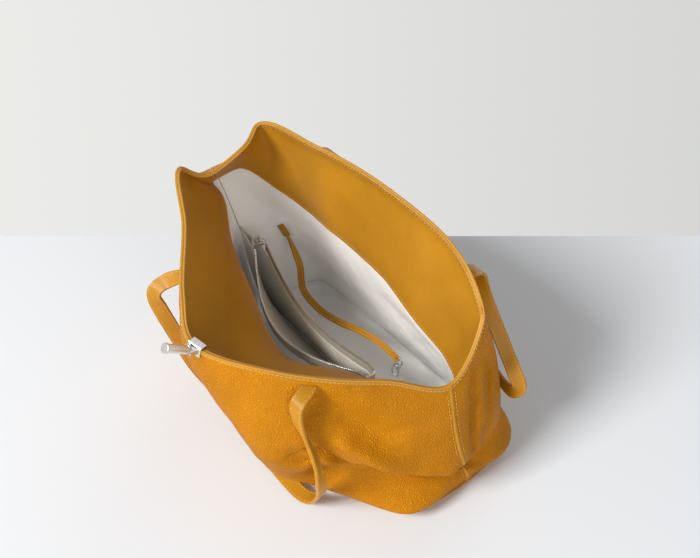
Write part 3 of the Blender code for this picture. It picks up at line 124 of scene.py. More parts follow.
# The handles: where each hangs and how its width runs there, from the left end to the right
FRONT_HANDLE_ROUTE = (
    (-0.449, -2.625, 0.785), (-0.458, -2.552, 0.711), (-0.438, -2.476, 0.622),
    (-0.405, -2.377, 0.511), (-0.345, -2.28, 0.40), (-0.28, -2.12, 0.28),
    (-0.20, -1.97, 0.165), (-0.08, -1.90, 0.085), (0.08, -1.91, 0.055),
    (0.336, -1.954, 0.050), (0.501, -1.926, 0.035), (0.575, -1.87, 0.045),
    (0.668, -1.90, 0.145), (0.742, -2.03, 0.30), (0.738, -2.07, 0.402),
    (0.687, -2.09, 0.477), (0.629, -2.14, 0.550))
FRONT_HANDLE_TURNS = (
    (0.95, 0.20, -0.35), (0.55, 0.75, 0.20), (0.34, 0.88, 0.34),
    (0.30, 0.90, 0.34), (0.20, 0.93, 0.30), (0.12, 0.95, 0.25),
    (0.05, 0.98, 0.20), (0.0, 1.0, 0.15), (0.0, 1.0, 0.15),
    (0.0, 1.0, 0.15), (0.0, 1.0, 0.15), (-0.05, 1.0, 0.10),
    (-0.20, 0.95, 0.0), (-0.45, 0.85, 0.0), (-0.70, 0.70, 0.0),
    (-0.85, 0.50, 0.0), (-0.97, 0.0, 0.0))
BACK_HANDLE_ROUTE = (
    (-0.485, 0.76, 0.845), (-0.33, 0.84, 0.72), (-0.09, 0.93, 0.58), (0.19, 1.02, 0.455),
    (0.485, 1.04, 0.368), (0.745, 0.98, 0.327), (0.91, 0.89, 0.315), (1.005, 0.84, 0.328),
    (1.05, 0.85, 0.372), (1.0, 0.845, 0.425), (0.91, 0.885, 0.475), (0.825, 0.87, 0.555),
    (0.757, 0.83, 0.637), (0.70, 0.76, 0.737))
BACK_HANDLE_TURNS = (
    (-0.85, 0.0, -0.50), (-0.70, 0.0, -0.72), (-0.62, 0.0, -0.78), (-0.50, 0.0, -0.87),
    (-0.35, 0.0, -0.94), (-0.15, 0.0, -0.99), (0.10, -0.05, -0.99), (0.45, -0.10, -0.88),
    (0.85, 0.45, -0.20), (0.55, 0.80, 0.25), (0.40, 0.85, 0.32), (0.40, 0.86, 0.32),
    (0.55, 0.78, 0.28), (0.80, 0.52, 0.15))
# The key leash's line and the way that its width runs
LEASH_ROUTE = (
    (-0.79, 0.265, 0.315), (-0.73, 0.215, 0.204), (-0.51, 0.16, 0.19), (-0.30, 0.155, 0.215),
    (-0.073, 0.16, 0.263), (0.145, 0.16, 0.29), (0.31, 0.16, 0.278))
LEASH_TURNS = (
    (0.65, 0.76, 0.0), (0.40, 0.85, 0.30), (0.0, 0.90, 0.40), (0.0, 0.90, 0.40),
    (0.0, 0.95, 0.25), (0.0, 1.0, 0.0), (0.0, 1.0, 0.0))

# How high the wall is for its folds, in metres, and over which share of its line a fold fades
# at each end, and to which share of its rise
FOLD_HEIGHT, FOLD_ENDS, FOLD_END_SHARE = 0.30, 0.16, 0.15
# Shares of the wall at its foot and its rim over which the folds fade out
FOOT_CALM, RIM_CALM = 0.12, 0.08
# Folds of the outer skin: half width and rise in metres, and places round and up the wall
FOLDS = (
    (0.0052, -0.0110, ((0.71, 0.64), (0.75, 0.65), (0.79, 0.585), (0.84, 0.50), (0.87, 0.40),
                       (0.92, 0.325), (0.96, 0.285), (1.0, 0.245), (1.035, 0.21))),
    (0.0120, 0.0085, ((0.77, 0.73), (0.81, 0.69), (0.86, 0.62), (0.91, 0.54), (0.96, 0.48),
                      (1.0, 0.43))),
    (0.0190, -0.0080, ((0.70, 0.90), (0.76, 0.87), (0.82, 0.80), (0.87, 0.74), (0.91, 0.69))),
    (0.0080, -0.0045, ((0.71, 0.63), (0.725, 0.58), (0.74, 0.53))),
    (0.0110, 0.0030, ((0.66, 0.62), (0.69, 0.52), (0.73, 0.44))),
    (0.0060, -0.0045, ((1.07, 0.93), (1.07, 0.75), (1.05, 0.61), (1.03, 0.46))),
    (0.0060, -0.0050, ((1.17, 0.74), (1.13, 0.57), (1.07, 0.33))),
    (0.0100, 0.0030, ((1.115, 0.86), (1.10, 0.70), (1.085, 0.55))),
    (0.0100, -0.0025, ((1.30, 0.75), (1.40, 0.45), (1.55, 0.30))),
    (0.0120, -0.0025, ((1.80, 0.70), (1.70, 0.42), (1.60, 0.34))),
    (0.0090, -0.0030, ((0.10, 0.80), (0.14, 0.55), (0.20, 0.38))),
)
# How far the facings' lower edge stands off the part's line, in metres, round the bag
EDGE_RISES = ((0.0, 0.029), (0.05, 0.020), (0.12, 0.005), (0.2, 0.0), (1.05, 0.0), (1.15, 0.008),
              (1.2, 0.005), (1.3, 0.0025), (1.5, 0.002), (1.6, -0.0035), (1.7, -0.006),
              (1.8, -0.014), (1.85, -0.011), (1.9, 0.002), (1.95, 0.022), (2.0, 0.029))

# Straps: the handles' places round the bag, and how their sewn ends bend away from it
HANDLE_WIDTH, HANDLE_THICKNESS, HANDLE_SPACING, HANDLE_MIDDLE = 0.0150, 0.0032, 0.198, 0.515
STRAP_END_THICKNESS, STRAP_END_REACH, SLOT_DEPTH, PIVOT_RISE = 0.0024, 0.016, 0.009, 0.0024
STRAP_BEND, STRAP_TIP = (0.35, -0.22, 0.42), (1.0, -0.62, 0.72)
STRAP_LEADS, STRAP_CUT, RIGHT_END_LEAN = (0.0025, 0.0050), 0.009, -0.55
STRAP_EDGE_BEND, STRAP_STITCH_INSET, STRAP_STITCH_PROUD = 0.0005, 0.0021, 1.02
# Shares of a handle's length where its thickness changes between its ends' and its own
HANDLE_TAPER = (0.0, 0.05, 0.09, 0.91, 0.95, 1.0)
# Rounds of smoothing near the ends of a handle and of the leash
HANDLE_ROUNDING, LEASH_ROUNDING = 32, 6
# How far stitches stay from the ends of a handle's sewn end, of a strap and of the leash's end
END_ROW_HELD, STRAP_ROW_HELD, LEASH_ROW_HELD = 0.003, 0.002, 0.001
# The leash, and the share of the way round and of the height where it is sewn on and folds
LEASH_TOP, LEASH_FOLD = (1.919, 0.447), (1.914, 0.392)
LEASH_WIDTH, LEASH_THICKNESS, LEASH_STANDOFF, LEASH_HOLE_INSET = 0.0080, 0.0024, 0.0004, 0.0034
LEASH_HOLE, LEASH_LEAD = 0.0014, 0.0030

# The divider pocket and its zip
POCKET_HEIGHTS = {0.0: 0.130, 1.0: 0.078}
POCKET_BOTTOM, POCKET_SHIFT, POCKET_SIDE_GAP, POCKET_CELLS = 0.034, 0.018, 0.0016, 12
ZIP_BOW, ZIP_LENGTH, TAPE_WIDTH, TAPE, CHAIN, SLIDER = 0.030, 0.218, 0.009, 0.0008, 0.0024, 0.0095
SLIDER_WIDTH, ZIP_END, SLIDER_STOP = 0.0075, 0.0030, 0.0008
ZIP_HALF = SLIDER_WIDTH / 2 + SEAT_GAP + CHAIN / 2
ZIP_SAG, ZIP_SLACK, ZIP_HELD = 0.012, 0.011, 0.0135
TOOTH_FILL, TOOTH_BEVEL, TOOTH_SINK = 0.55, 0.0003, 0.0004
# Where the zip's line starts and aims, as shares of the way between the side linings
ZIP_START, ZIP_START_SHIFT, ZIP_AIM, POCKET_LEAN = 0.11, 0.15, 0.82, 0.4

# Sizes of the rim, the floor cloth and the stitches
RIM_STRIP, STRIP_LIFT, STRIP_LAP, RIM_STITCH = 0.0044, 0.0006, 0.0002, 0.0030
FLOOR_TURN, FLOOR_RISE, FLOOR_SLACK, FLOOR_CENTRE = 0.022, 0.013, 0.0012, 0.01
SIDE_GAP, FLOOR_CLOTH, SEAM_STITCH_SHARE, ROW_END = 0.0004, LINING * 0.8, 1.9, 0.004
STITCH_FILL, STITCH_WIDTH, STITCH_HEIGHT, STITCH_LIFT = 0.68, 0.0007, 0.0006, 0.0001
NORMAL_STEP = 0.02

# Random waves of each sheet: size, height, seed, and the share of the height that they follow
SKIN_DENTS = ((0.055, 0.0016, 3.0, 1.0), (0.020, 0.0005, 9.0, 1.0))
FACING_WAVES = ((0.045, 0.0008, 21.0, 1.0),)
LINING_FOLDS = ((0.035, 0.0016, 5.0, 1.0), (0.012, 0.0008, 17.0, 0.35))
POCKET_FOLDS = ((0.022, 0.0013, 31.0, 0.4),)
TAPE_WAVES = ((0.018, 0.0007, 41.0, 1.0),)
FLOOR_WAVE_SIZE, FLOOR_WAVE_SEED = 0.045, 2.0
# The share of the wall's rows, from its foot, that dents reach
DENTED_ROWS = 0.985

# The stage: the table, the lights' places and sizes, and the camera, in metres
TABLE_SIZE, TABLE_DROP = 8.0, 0.0002
# The surround's painted shade: how dark it is painted at its right, and the share of the view where
# that is reached
RIGHT_PAINTED_SHADE, PAINTED_SHADE_REACH = 0.76, 0.6
LIGHT_COLOUR = (1.0, 0.99, 0.97)
LIGHTS = (("window_light", (-0.25, -3.8, 3.1), 1.7, "key_light"),
          ("side_light", (3.0, -1.3, 0.95), 2.0, "side_light"),
          ("back_light", (-1.3, 3.2, 1.2), 2.0, "back_light"))
CAMERA_PLACE = (0.56319, -0.48538, 0.83372)
CAMERA_RIGHT, CAMERA_UP = Vector((0.643, 0.766, 0.0)), Vector((-0.513, 0.430, 0.743))


def unit(vector):
    """A vector, or each row of vectors, at length 1."""
    return vector / np.linalg.norm(vector, axis=-1, keepdims=True)


def placed(shares):
    """Points, in metres, from shares of the half width, half depth and rim height."""
    return np.array(shares) * (HALF_WIDTH, HALF_DEPTH, RIM_HEIGHT)


def smooth(knots, values, at):
    """A smooth curve through values at rising knots, read at several places."""
    knots, values = np.asarray(knots, dtype=float), np.asarray(values, dtype=float)
    steps = np.diff(knots)
    slopes = np.diff(values, axis=0) / steps[:, None]
    tangents = np.empty_like(values)
    before, after = steps[:-1, None], steps[1:, None]
    tangents[1:-1] = (slopes[:-1] * after + slopes[1:] * before) / (before + after)
    tangents[0] = 1.5 * slopes[0] - 0.5 * tangents[1]
    tangents[-1] = 1.5 * slopes[-1] - 0.5 * tangents[-2]
    at = np.atleast_1d(np.asarray(at, dtype=float))
    span = np.clip(np.searchsorted(knots, at, side="right") - 1, 0, len(steps) - 1)
    width, share = steps[span][:, None], ((at - knots[span]) / steps[span])[:, None]
    rest = 1 - share
    return ((1 + 2 * share) * rest ** 2 * values[span]
            + share * rest ** 2 * width * tangents[span]
            + share ** 2 * (3 - 2 * share) * values[span + 1]
            - share ** 2 * rest * width * tangents[span + 1])


def chord_knots(points):
    """Knots spaced by the square root of each chord, which keeps a curve from looping."""
    return np.concatenate(([0.0], np.cumsum(np.sqrt(np.linalg.norm(np.diff(points, axis=0),
                                                                   axis=1)))))


def ring_value(level, share):
    """A closed level of the bag, read at a share of the flat width from 0 to 2."""
    count, reach = len(STATIONS), 3
    knots = [STATIONS[i % count] + 2 * (i // count) for i in range(-reach, count + reach)]
    values = [placed(level[i % count]) for i in range(-reach, count + reach)]
    return smooth(knots, values, share % 2)[0]


def rectangle_point(walked):
    """A point on the base's sharp rectangle, walked from the middle of its left side."""
    if walked < HALF_DEPTH:
        return np.array((-HALF_WIDTH, -walked))
    if walked < HALF_DEPTH + BASE_WIDTH:
        return np.array((walked - HALF_DEPTH - HALF_WIDTH, -HALF_DEPTH))
    if walked < FLAT_WIDTH + HALF_DEPTH:
        return np.array((HALF_WIDTH, walked - FLAT_WIDTH))
    if walked < FLAT_WIDTH + HALF_DEPTH + BASE_WIDTH:
        return np.array((HALF_WIDTH - (walked - FLAT_WIDTH - HALF_DEPTH), HALF_DEPTH))
    return np.array((-HALF_WIDTH, 2 * FLAT_WIDTH - walked))


def base_edge(share):
    """The base's outline at a share of the flat width: a bowed, rounded rectangle."""
    shifts = CORNER_RADIUS * (2 * np.arange(CORNER_SAMPLES) / (CORNER_SAMPLES - 1) - 1)
    x, y = np.mean([rectangle_point((share * FLAT_WIDTH + shift) % (2 * FLAT_WIDTH))
                    for shift in shifts], axis=0)
    across, along = 1 - (x / HALF_WIDTH) ** 2, 1 - (y / HALF_DEPTH) ** 2
    y += BACK_BOW * across * max(y / HALF_DEPTH, 0)
    y -= FRONT_BOW * across * max(-y / HALF_DEPTH, 0)
    x += RIGHT_BOW * along * max(x / HALF_WIDTH, 0)
    return np.array((x, y))


def base_inset(share, inset):
    """The base's outline moved inwards."""
    along = unit(base_edge(share + 2 * NORMAL_STEP) - base_edge(share - 2 * NORMAL_STEP))
    return base_edge(share) + inset * np.array((-along[1], along[0]))


def wall_line(share):
    """The outer wall's levels at one place round the bag, and their knots."""
    x, y = base_edge(share)
    points = [np.array((x, y, 0.0)), np.array((x, y, STACK_TOP))]
    points = np.array(points + [ring_value(level, share) for level in OUTER_LEVELS])
    return chord_knots(points), points


def top_rows(share):
    """The outer wall's collar, band and rim points at one place."""
    knots, points = wall_line(share)
    last = len(points) - 1
    band = last - RIM_BAND / np.linalg.norm(points[-1] - points[-2])
    return smooth(knots, points, np.interp((last - 1, band, last), np.arange(last + 1), knots))


def top_normals(share):
    """The way out of the bag at the band and the rim."""
    rows = top_rows(share)
    across = top_rows(share + NORMAL_STEP) - top_rows(share - NORMAL_STEP)
    return unit(np.cross(across, np.gradient(rows, axis=0)))[1:]


def inner_line(share):
    """The lining's and facing's own line at one place: its levels and their knots."""
    x, y = base_inset(share, LINING_INSET)
    points = [np.array((x, y, STACK_TOP - LINING))]
    points += [ring_value(level, share) for level in INNER_LEVELS]
    band, rim = top_rows(share)[1:] - (HIDE + LAYER_GAP) * top_normals(share)
    points = np.array(points + [(points[-1] + band) / 2, band, rim])
    return chord_knots(points), points


def outer_wall(shares, fractions):
    """Points of the outer wall: a column for each share, up from the floor."""
    lines = [wall_line(share % 2) for share in shares]
    return np.array([smooth(knots, points, knots[-1] * np.asarray(fractions))
                     for knots, points in lines])


def inner_wall(shares, first, last, count, lap=0.0):
    """Points of the inner line between two of its levels, and a lap beyond the last."""
    columns = []
    for share in shares:
        knots, points = inner_line(share % 2)
        chords = np.concatenate(([0.0], np.cumsum(np.linalg.norm(np.diff(points, axis=0), axis=1))))
        rise = np.interp(share % 2, *np.transpose(EDGE_RISES))
        rises = [rise if level == FACING_LEVEL else 0.0 for level in (first, last)]
        start, end = np.interp((chords[first] + rises[0], chords[last] + rises[1] + lap),
                               chords, knots)
        columns.append(smooth(knots, points, np.linspace(start, end, count)))
    return np.array(columns)


def arch(runs, power=1.0):
    """0 at both ends of a run from 0 to 1, and 1 at its middle."""
    return np.sin(np.pi * runs) ** power


def surface_normals(lattice):
    """The way out at each point of a lattice whose columns run round and rows run up."""
    return unit(np.cross(np.gradient(lattice, axis=0), np.gradient(lattice, axis=1)))


def at_height(share, height):
    """A point on the inner line at a height, and the way out of the bag there."""
    near = inner_wall((share - NORMAL_STEP, share, share + NORMAL_STEP), 0, INNER_RIM, 60)
    normals = surface_normals(near)[1]
    point = np.array([np.interp(height, near[1, :, 2], near[1, :, k]) for k in range(3)])
    normal = np.array([np.interp(height, near[1, :, 2], normals[:, k]) for k in range(3)])
    return point, unit(normal)


def fold_rise(shares, rows, width, rise, places):
    """How far one fold moves each point of the outer wall."""
    scale = (FLAT_WIDTH, FOLD_HEIGHT)
    near = np.stack(np.meshgrid(shares, rows, indexing="ij"), axis=2) * scale
    line = np.array(places) * scale
    lengths = np.linalg.norm(np.diff(line, axis=0), axis=1)
    walked = np.concatenate(([0.0], np.cumsum(lengths))) / lengths.sum()
    best, run = np.full(near.shape[:2], np.inf), np.zeros(near.shape[:2])
    for index, length in enumerate(lengths):
        step = line[index + 1] - line[index]
        share = np.clip(((near - line[index]) @ step) / length ** 2, 0, 1)
        distance = np.linalg.norm(near - line[index] - share[..., None] * step, axis=2)
        closer = distance < best
        best = np.where(closer, distance, best)
        run = np.where(closer, walked[index] + share * length / lengths.sum(), run)
    end = np.clip(np.minimum(run, 1 - run) / FOLD_ENDS, 0, 1)
    held = FOLD_END_SHARE + (1 - FOLD_END_SHARE) * end * end * (3 - 2 * end)
    return rise * np.exp(-(best / width) ** 2) * held


def skin_wall(shares, rows, settings):
    """The outer wall with its folds, and the way out at each point."""
    lattice = outer_wall(shares, rows)
    normals = surface_normals(lattice)
    rises = sum(fold_rise(shares, rows, *fold) for fold in FOLDS) * settings.fold_share
    calm = np.clip(np.minimum(rows / FOOT_CALM, (1 - rows) / RIM_CALM), 0, 1)
    lattice = lattice + normals * (rises * calm)[..., None]
    return lattice, surface_normals(lattice)


def closed(lattice):
    """A lattice whose columns run right round, with its first column again at its end."""
    return np.concatenate((lattice, lattice[:1]))


def held_shares(start, count, edge_gap):
    """Shares from one seam to the next, held back from each seam by a gap in metres."""
    held = edge_gap / FLAT_WIDTH
    return np.linspace(start + held, start + 1 - held, count)


def ripple(points, size, seed):
    """A soft random height for each point of a lattice, from -1 to 1."""
    flat = points.reshape(-1, 3) / size
    heights = [noise.fractal(Vector(p) + Vector((seed, 0, 0)), 0.9, 2.0, 3) for p in flat]
    return np.clip(np.array(heights).reshape(points.shape[:-1]), -1, 1)


def waves(points, kinds):
    """Random waves of several sizes, each with its own height."""
    return sum(ripple(points * (1.0, 1.0, upright), size, seed) * height
               for size, height, seed, upright in kinds)


def measure(lattice):
    """UVs in metres: across from the first column, and down from the top row."""
    across = np.linalg.norm(np.diff(lattice, axis=0), axis=2).mean(axis=1)
    across = np.concatenate(([0.0], np.cumsum(across)))
    up = np.concatenate((np.zeros((len(lattice), 1)), np.cumsum(
        np.linalg.norm(np.diff(lattice, axis=1), axis=2), axis=1)), axis=1)
    down = up[:, -1:] - up
    return np.stack((np.broadcast_to(across[:, None], down.shape), down), axis=2)


def select_only(piece):
    """Leaves one piece selected and active."""
    bpy.ops.object.select_all(action="DESELECT")
    piece.select_set(True)
    bpy.context.view_layer.objects.active = piece


def added(name):
    """The object that the last primitive call added, with its name."""
    piece = bpy.context.object
    piece.name = name
    piece.data.name = name
    return piece


def apply_modifier(piece, kind, settings):
    """Adds a modifier to a piece and applies it."""
    select_only(piece)
    modifier = piece.modifiers.new(kind, kind)
    for key, value in settings.items():
        setattr(modifier, key, value)
    bpy.ops.object.modifier_apply(modifier=modifier.name)


def thicken(piece, thickness, offset=0.0):
    """Gives a sheet its thickness: half to each side, or all behind it at offset -1."""
    apply_modifier(piece, "SOLIDIFY", {"thickness": thickness, "offset": offset})


def drawn_grid(name, lattice, uvs=None):
    """A grid primitive drawn out over a lattice of points, with its UVs in metres."""
    columns, rows = lattice.shape[:2]
    bpy.ops.object.select_all(action="DESELECT")
    bpy.ops.mesh.primitive_grid_add(x_subdivisions=columns - 1, y_subdivisions=rows - 1, size=1)
    piece = added(name)
    mesh = piece.data
    mesh.vertices.foreach_set("co", lattice.transpose(1, 0, 2).ravel())
    uvs = measure(lattice) if uvs is None else uvs
    corners = np.empty(len(mesh.loops), dtype=np.int32)
    mesh.loops.foreach_get("vertex_index", corners)
    mesh.uv_layers.active.data.foreach_set(
        "uv", uvs.transpose(1, 0, 2).reshape(-1, 2)[corners].ravel())
    mesh.update()
    mesh.shade_smooth()
    return piece


def finished(piece, looks, body="bag", nodes=()):
    """Gives a piece its materials, its body and the part's nodes that it stands for."""
    for look in looks:
        piece.data.materials.append(MATERIALS[look])
    if body:
        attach(piece, body)
    if nodes:
        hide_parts(*nodes)
    return piece


def sheet(name, lattice, thickness):
    """A sheet over a lattice, its thickness behind the lattice's outer side."""
    piece = drawn_grid(name, lattice)
    thicken(piece, thickness, -1.0)
    piece.data.shade_smooth()
    piece.data.set_sharp_from_angle(angle=math.radians(50))
    return piece


def loft(name, rings, kinds=None, caps=True):
    """A closed tube through rings of points; kinds gives each side's material."""
    lattice = np.concatenate((rings, rings[:, :1]), axis=1).transpose(1, 0, 2)
    piece = drawn_grid(name, lattice)
    if kinds is not None:
        indices = np.tile(kinds, len(rings) - 1).astype(np.int32)
        for _ in range(max(kinds) + 1):
            piece.data.materials.append(None)
        piece.data.polygons.foreach_set("material_index", indices)
        piece.data.update()
    select_only(piece)
    bpy.ops.object.mode_set(mode="EDIT")
    bpy.ops.mesh.select_all(action="SELECT")
    bpy.ops.mesh.remove_doubles(threshold=1e-7)
    if caps:
        bpy.ops.mesh.select_all(action="DESELECT")
        bpy.ops.mesh.select_non_manifold()
        bpy.ops.mesh.fill_holes(sides=0)
    bpy.ops.mesh.select_all(action="SELECT")
    bpy.ops.mesh.normals_make_consistent(inside=False)
    bpy.ops.object.mode_set(mode="OBJECT")
    if kinds is not None:
        piece.data.materials.clear()
    piece.data.shade_smooth()
    piece.data.set_sharp_from_angle(angle=math.radians(40))
    return piece


def walk(points, pitch, ends=0.0):
    """Places along a line at an even pitch: an index and a share to the next index."""
    lengths = np.concatenate(([0.0], np.cumsum(np.linalg.norm(np.diff(points, axis=0), axis=1))))
    count = max(int((lengths[-1] - 2 * ends) / pitch), 1)
    marks = np.linspace(ends + pitch / 2, lengths[-1] - ends - pitch / 2, count)
    return np.interp(marks, lengths, np.arange(len(points)))


def read_line(values, at):
    """A line of points or directions read between its own places."""
    index = np.arange(len(values))
    return np.stack([np.interp(at, index, values[:, k]) for k in range(3)], axis=1)


def copies(name, shape, places):
    """Copies of one small shape, set at several places and joined to one piece."""
    bpy.ops.object.select_all(action="DESELECT")
    first = None
    for place in places:
        item = shape.copy()
        item.data = shape.data.copy()
        item.data.transform(place)
        bpy.context.collection.objects.link(item)
        item.select_set(True)
        first = first or item
    bpy.context.view_layer.objects.active = first
    bpy.ops.object.join()
    bpy.data.objects.remove(shape, do_unlink=True)
    return added(name)


def place_matrix(origin, along, out):
    """A placing matrix: X along a line, Z out of the surface."""
    x = Vector(along).normalized()
    y = Vector(out).cross(x).normalized()
    matrix = Matrix((x, y, x.cross(y))).transposed().to_4x4()
    matrix.translation = Vector(origin)
    return matrix


def thread(length):
    """One stitch: a small round grain of thread."""
    bpy.ops.object.select_all(action="DESELECT")
    bpy.ops.mesh.primitive_uv_sphere_add(segments=6, ring_count=4, radius=0.5)
    shape = added("stitch")
    shape.data.transform(Matrix.Diagonal((length, STITCH_WIDTH, STITCH_HEIGHT, 1))
                         @ Matrix.Rotation(math.pi / 2, 4, "Y"))
    shape.data.shade_smooth()
    return shape


def stitch_rows(name, lines, settings, body="bag"):
    """Rows of stitches along lines of (points, ways out); each line gives one row."""
    places = []
    for points, outs, ends in lines:
        at = walk(points, settings.stitch_pitch, ends)
        spots, ways = read_line(points, at), read_line(outs, at)
        tangents = read_line(np.gradient(points, axis=0), at)
        places += [place_matrix(*row) for row in zip(spots, tangents, ways)]
    piece = copies(name, thread(settings.stitch_pitch * STITCH_FILL), places)
    return finished(piece, ["thread"], body)


# Every material by its name, filled as they are made
MATERIALS = {}


class Wire:
    """A shader socket that does sums: each one adds a Math node to its tree."""

    def __init__(self, tree, socket):
        self.tree = tree
        self.socket = socket

    def _sum(self, operation, first, second=None):
        node = self.tree.nodes.new("ShaderNodeMath")
        node.operation = operation
        for index, value in enumerate((first, second)):
            if isinstance(value, Wire):
                self.tree.links.new(value.socket, node.inputs[index])
            elif value is not None:
                node.inputs[index].default_value = value
        return Wire(self.tree, node.outputs[0])

    def __add__(self, other):
        return self._sum("ADD", self, other)

    def __radd__(self, other):
        return self._sum("ADD", other, self)

    def __sub__(self, other):
        return self._sum("SUBTRACT", self, other)

    def __rsub__(self, other):
        return self._sum("SUBTRACT", other, self)

    def __mul__(self, other):
        return self._sum("MULTIPLY", self, other)

    def __rmul__(self, other):
        return self._sum("MULTIPLY", other, self)

    def __truediv__(self, other):
        return self._sum("DIVIDE", self, other)

    def __rtruediv__(self, other):
        return self._sum("DIVIDE", other, self)

    def sine(self):
        return self._sum("SINE", self)

    def between(self, low, high):
        """0 below low, 1 above high, and a smooth ramp from one to the other."""
        share = (self - low) / (high - low)
        held = self._sum("MAXIMUM", self._sum("MINIMUM", share, 1.0), 0.0)
        return held * held * (3.0 - 2.0 * held)


def mixed(tree, share, first, second):
    """A colour between two others, each a colour or a wire."""
    node = tree.nodes.new("ShaderNodeMix")
    node.data_type = "RGBA"
    for socket, value in ((node.inputs[0], share), (node.inputs[6], first),
                          (node.inputs[7], second)):
        if isinstance(value, Wire):
            tree.links.new(value.socket, socket)
        elif isinstance(value, float):
            socket.default_value = value
        else:
            socket.default_value = (*value, 1.0)
    return Wire(tree, node.outputs[2])


class Finish:
    """A material: its nodes, and the Principled shader that they feed."""

    def __init__(self, name, roughness, metallic=0.0, gloss=0.5):
        self.material = bpy.data.materials.new(name)
        self.material.use_nodes = True
        self.tree = self.material.node_tree
        self.shader = self.tree.nodes["Principled BSDF"]
        self.shader.inputs["Roughness"].default_value = roughness
        self.shader.inputs["Metallic"].default_value = metallic
        self.shader.inputs["Specular IOR Level"].default_value = gloss
        self.place = self.node("ShaderNodeTexCoord", {}, {}, "Object")
        MATERIALS[name] = self.material

    def node(self, kind, settings, values, output=0):
        """A node of any kind, its settings and its socket values, read at one output."""
        node = self.tree.nodes.new(kind)
        for key, value in settings.items():
            setattr(node, key, value)
        for key, value in values.items():
            if isinstance(value, Wire):
                self.tree.links.new(value.socket, node.inputs[key])
            else:
                node.inputs[key].default_value = value
        return Wire(self.tree, node.outputs[output])

    def noise(self, scale, detail=3.0):
        """A cloudy value from 0 to 1, with so many clouds per metre."""
        return self.node("ShaderNodeTexNoise", {}, {
            "Vector": self.place, "Scale": scale, "Detail": detail})

    def pebbles(self, scale):
        """Rounded pebbles, as the grain of leather has: 0 in the creases between them."""
        return self.node("ShaderNodeTexVoronoi", {"feature": "DISTANCE_TO_EDGE"}, {
            "Vector": self.place, "Scale": scale}, "Distance").between(0.0, 0.48)

    def flat(self):
        """The UV map's two lengths, in metres."""
        uv = self.node("ShaderNodeUVMap", {}, {})
        split = self.tree.nodes.new("ShaderNodeSeparateXYZ")
        self.tree.links.new(uv.socket, split.inputs[0])
        return Wire(self.tree, split.outputs[0]), Wire(self.tree, split.outputs[1])

    def mix(self, share, first, second):
        """A colour between two others."""
        return mixed(self.tree, share, first, second)

    def feed(self, name, wire):
        """Links a wire to one of the shader's sockets."""
        self.tree.links.new(wire.socket, self.shader.inputs[name])

    def bump(self, height, distance):
        """A relief of some height, in metres, on the surface."""
        self.feed("Normal", self.node("ShaderNodeBump", {}, {
            "Height": height, "Distance": distance, "Strength": 1.0}, "Normal"))


def shade(colour, share):
    """A colour made lighter or darker."""
    return tuple(min(value * share, 1.0) for value in colour)


def make_leathers(settings):
    """Pebbled hide with painted shade in the creases between its pebbles, smooth leather for
    facings and straps, painted cut edges, and thread.
    """
    colour = settings.hide_colour
    hide = Finish("pebbled_hide", 0.5, gloss=0.11)
    pebbles = hide.pebbles(settings.grain_scale)
    cloud = hide.noise(14.0, 4.0)
    tone = hide.mix(cloud.between(0.35, 0.68), shade(colour, 0.86), shade(colour, 1.13))
    # Painted shade: the hide's colour is darkened in the creases between its pebbles, where shade
    # falls
    hide.feed("Base Color", hide.mix((1.0 - pebbles) * 0.65, tone, shade(colour, 0.48)))
    hide.feed("Roughness", 0.42 + 0.16 * hide.noise(60.0))
    hide.bump(pebbles + 0.5 * hide.noise(90.0), 0.0008)

    colour = settings.facing_colour
    for name, share, roughness in (("smooth_facing", 1.0, 0.46), ("strap_leather", 1.12, 0.42)):
        leather = Finish(name, roughness, gloss=0.25)
        cloud = leather.noise(9.0, 5.0)
        fine = leather.noise(700.0, 2.0)
        tone = leather.mix(cloud.between(0.3, 0.7), shade(colour, 0.87 * share),
                           shade(colour, 1.15 * share))
        leather.feed("Base Color", leather.mix(fine.between(0.4, 0.7) * 0.18, tone,
                                               shade(colour, 0.6)))
        leather.feed("Roughness", roughness - 0.08 + 0.2 * leather.noise(40.0))
        leather.bump(fine + 1.5 * leather.noise(240.0, 4.0), 0.00006)

    edge = Finish("cut_edge", 0.55)
    fray = edge.noise(900.0, 3.0)
    edge.feed("Base Color", edge.mix(fray.between(0.35, 0.7), settings.edge_colour,
                                     shade(settings.edge_colour, 0.72)))
    edge.bump(fray, 0.00008)

    string = Finish("thread", 0.6)
    twist = string.noise(1500.0, 1.0).between(0.3, 0.7)
    string.feed("Base Color", string.mix(twist, settings.thread_colour,
                                         shade(settings.thread_colour, 0.75)))
    string.bump(twist, 0.00005)


def make_cloths(settings):
    """Cream lining cotton, grey pocket cotton, and the zip's tape, with their weave."""
    looks = (("lining_cloth", settings.lining_colour, 0.00055, 1.0),
             ("pocket_cloth", settings.pocket_colour, 0.00055, 1.0),
             ("tape_cloth", settings.tape_colour, 0.0007, 2.0))
    for name, colour, pitch, depth in looks:
        cloth = Finish(name, 0.92, gloss=0.1)
        across, down = cloth.flat()
        turns = 2 * math.pi / pitch
        weave = (across * turns).sine() * (down * turns).sine()
        slub = cloth.noise(160.0, 4.0)
        tone = cloth.mix(cloth.noise(12.0, 4.0).between(0.3, 0.7), shade(colour, 0.93),
                         shade(colour, 1.05))
        cloth.feed("Base Color", cloth.mix(weave.between(-0.6, 0.8), shade(colour, 0.93), tone))
        cloth.bump(weave + 2.0 * slub, 0.00002 * depth)


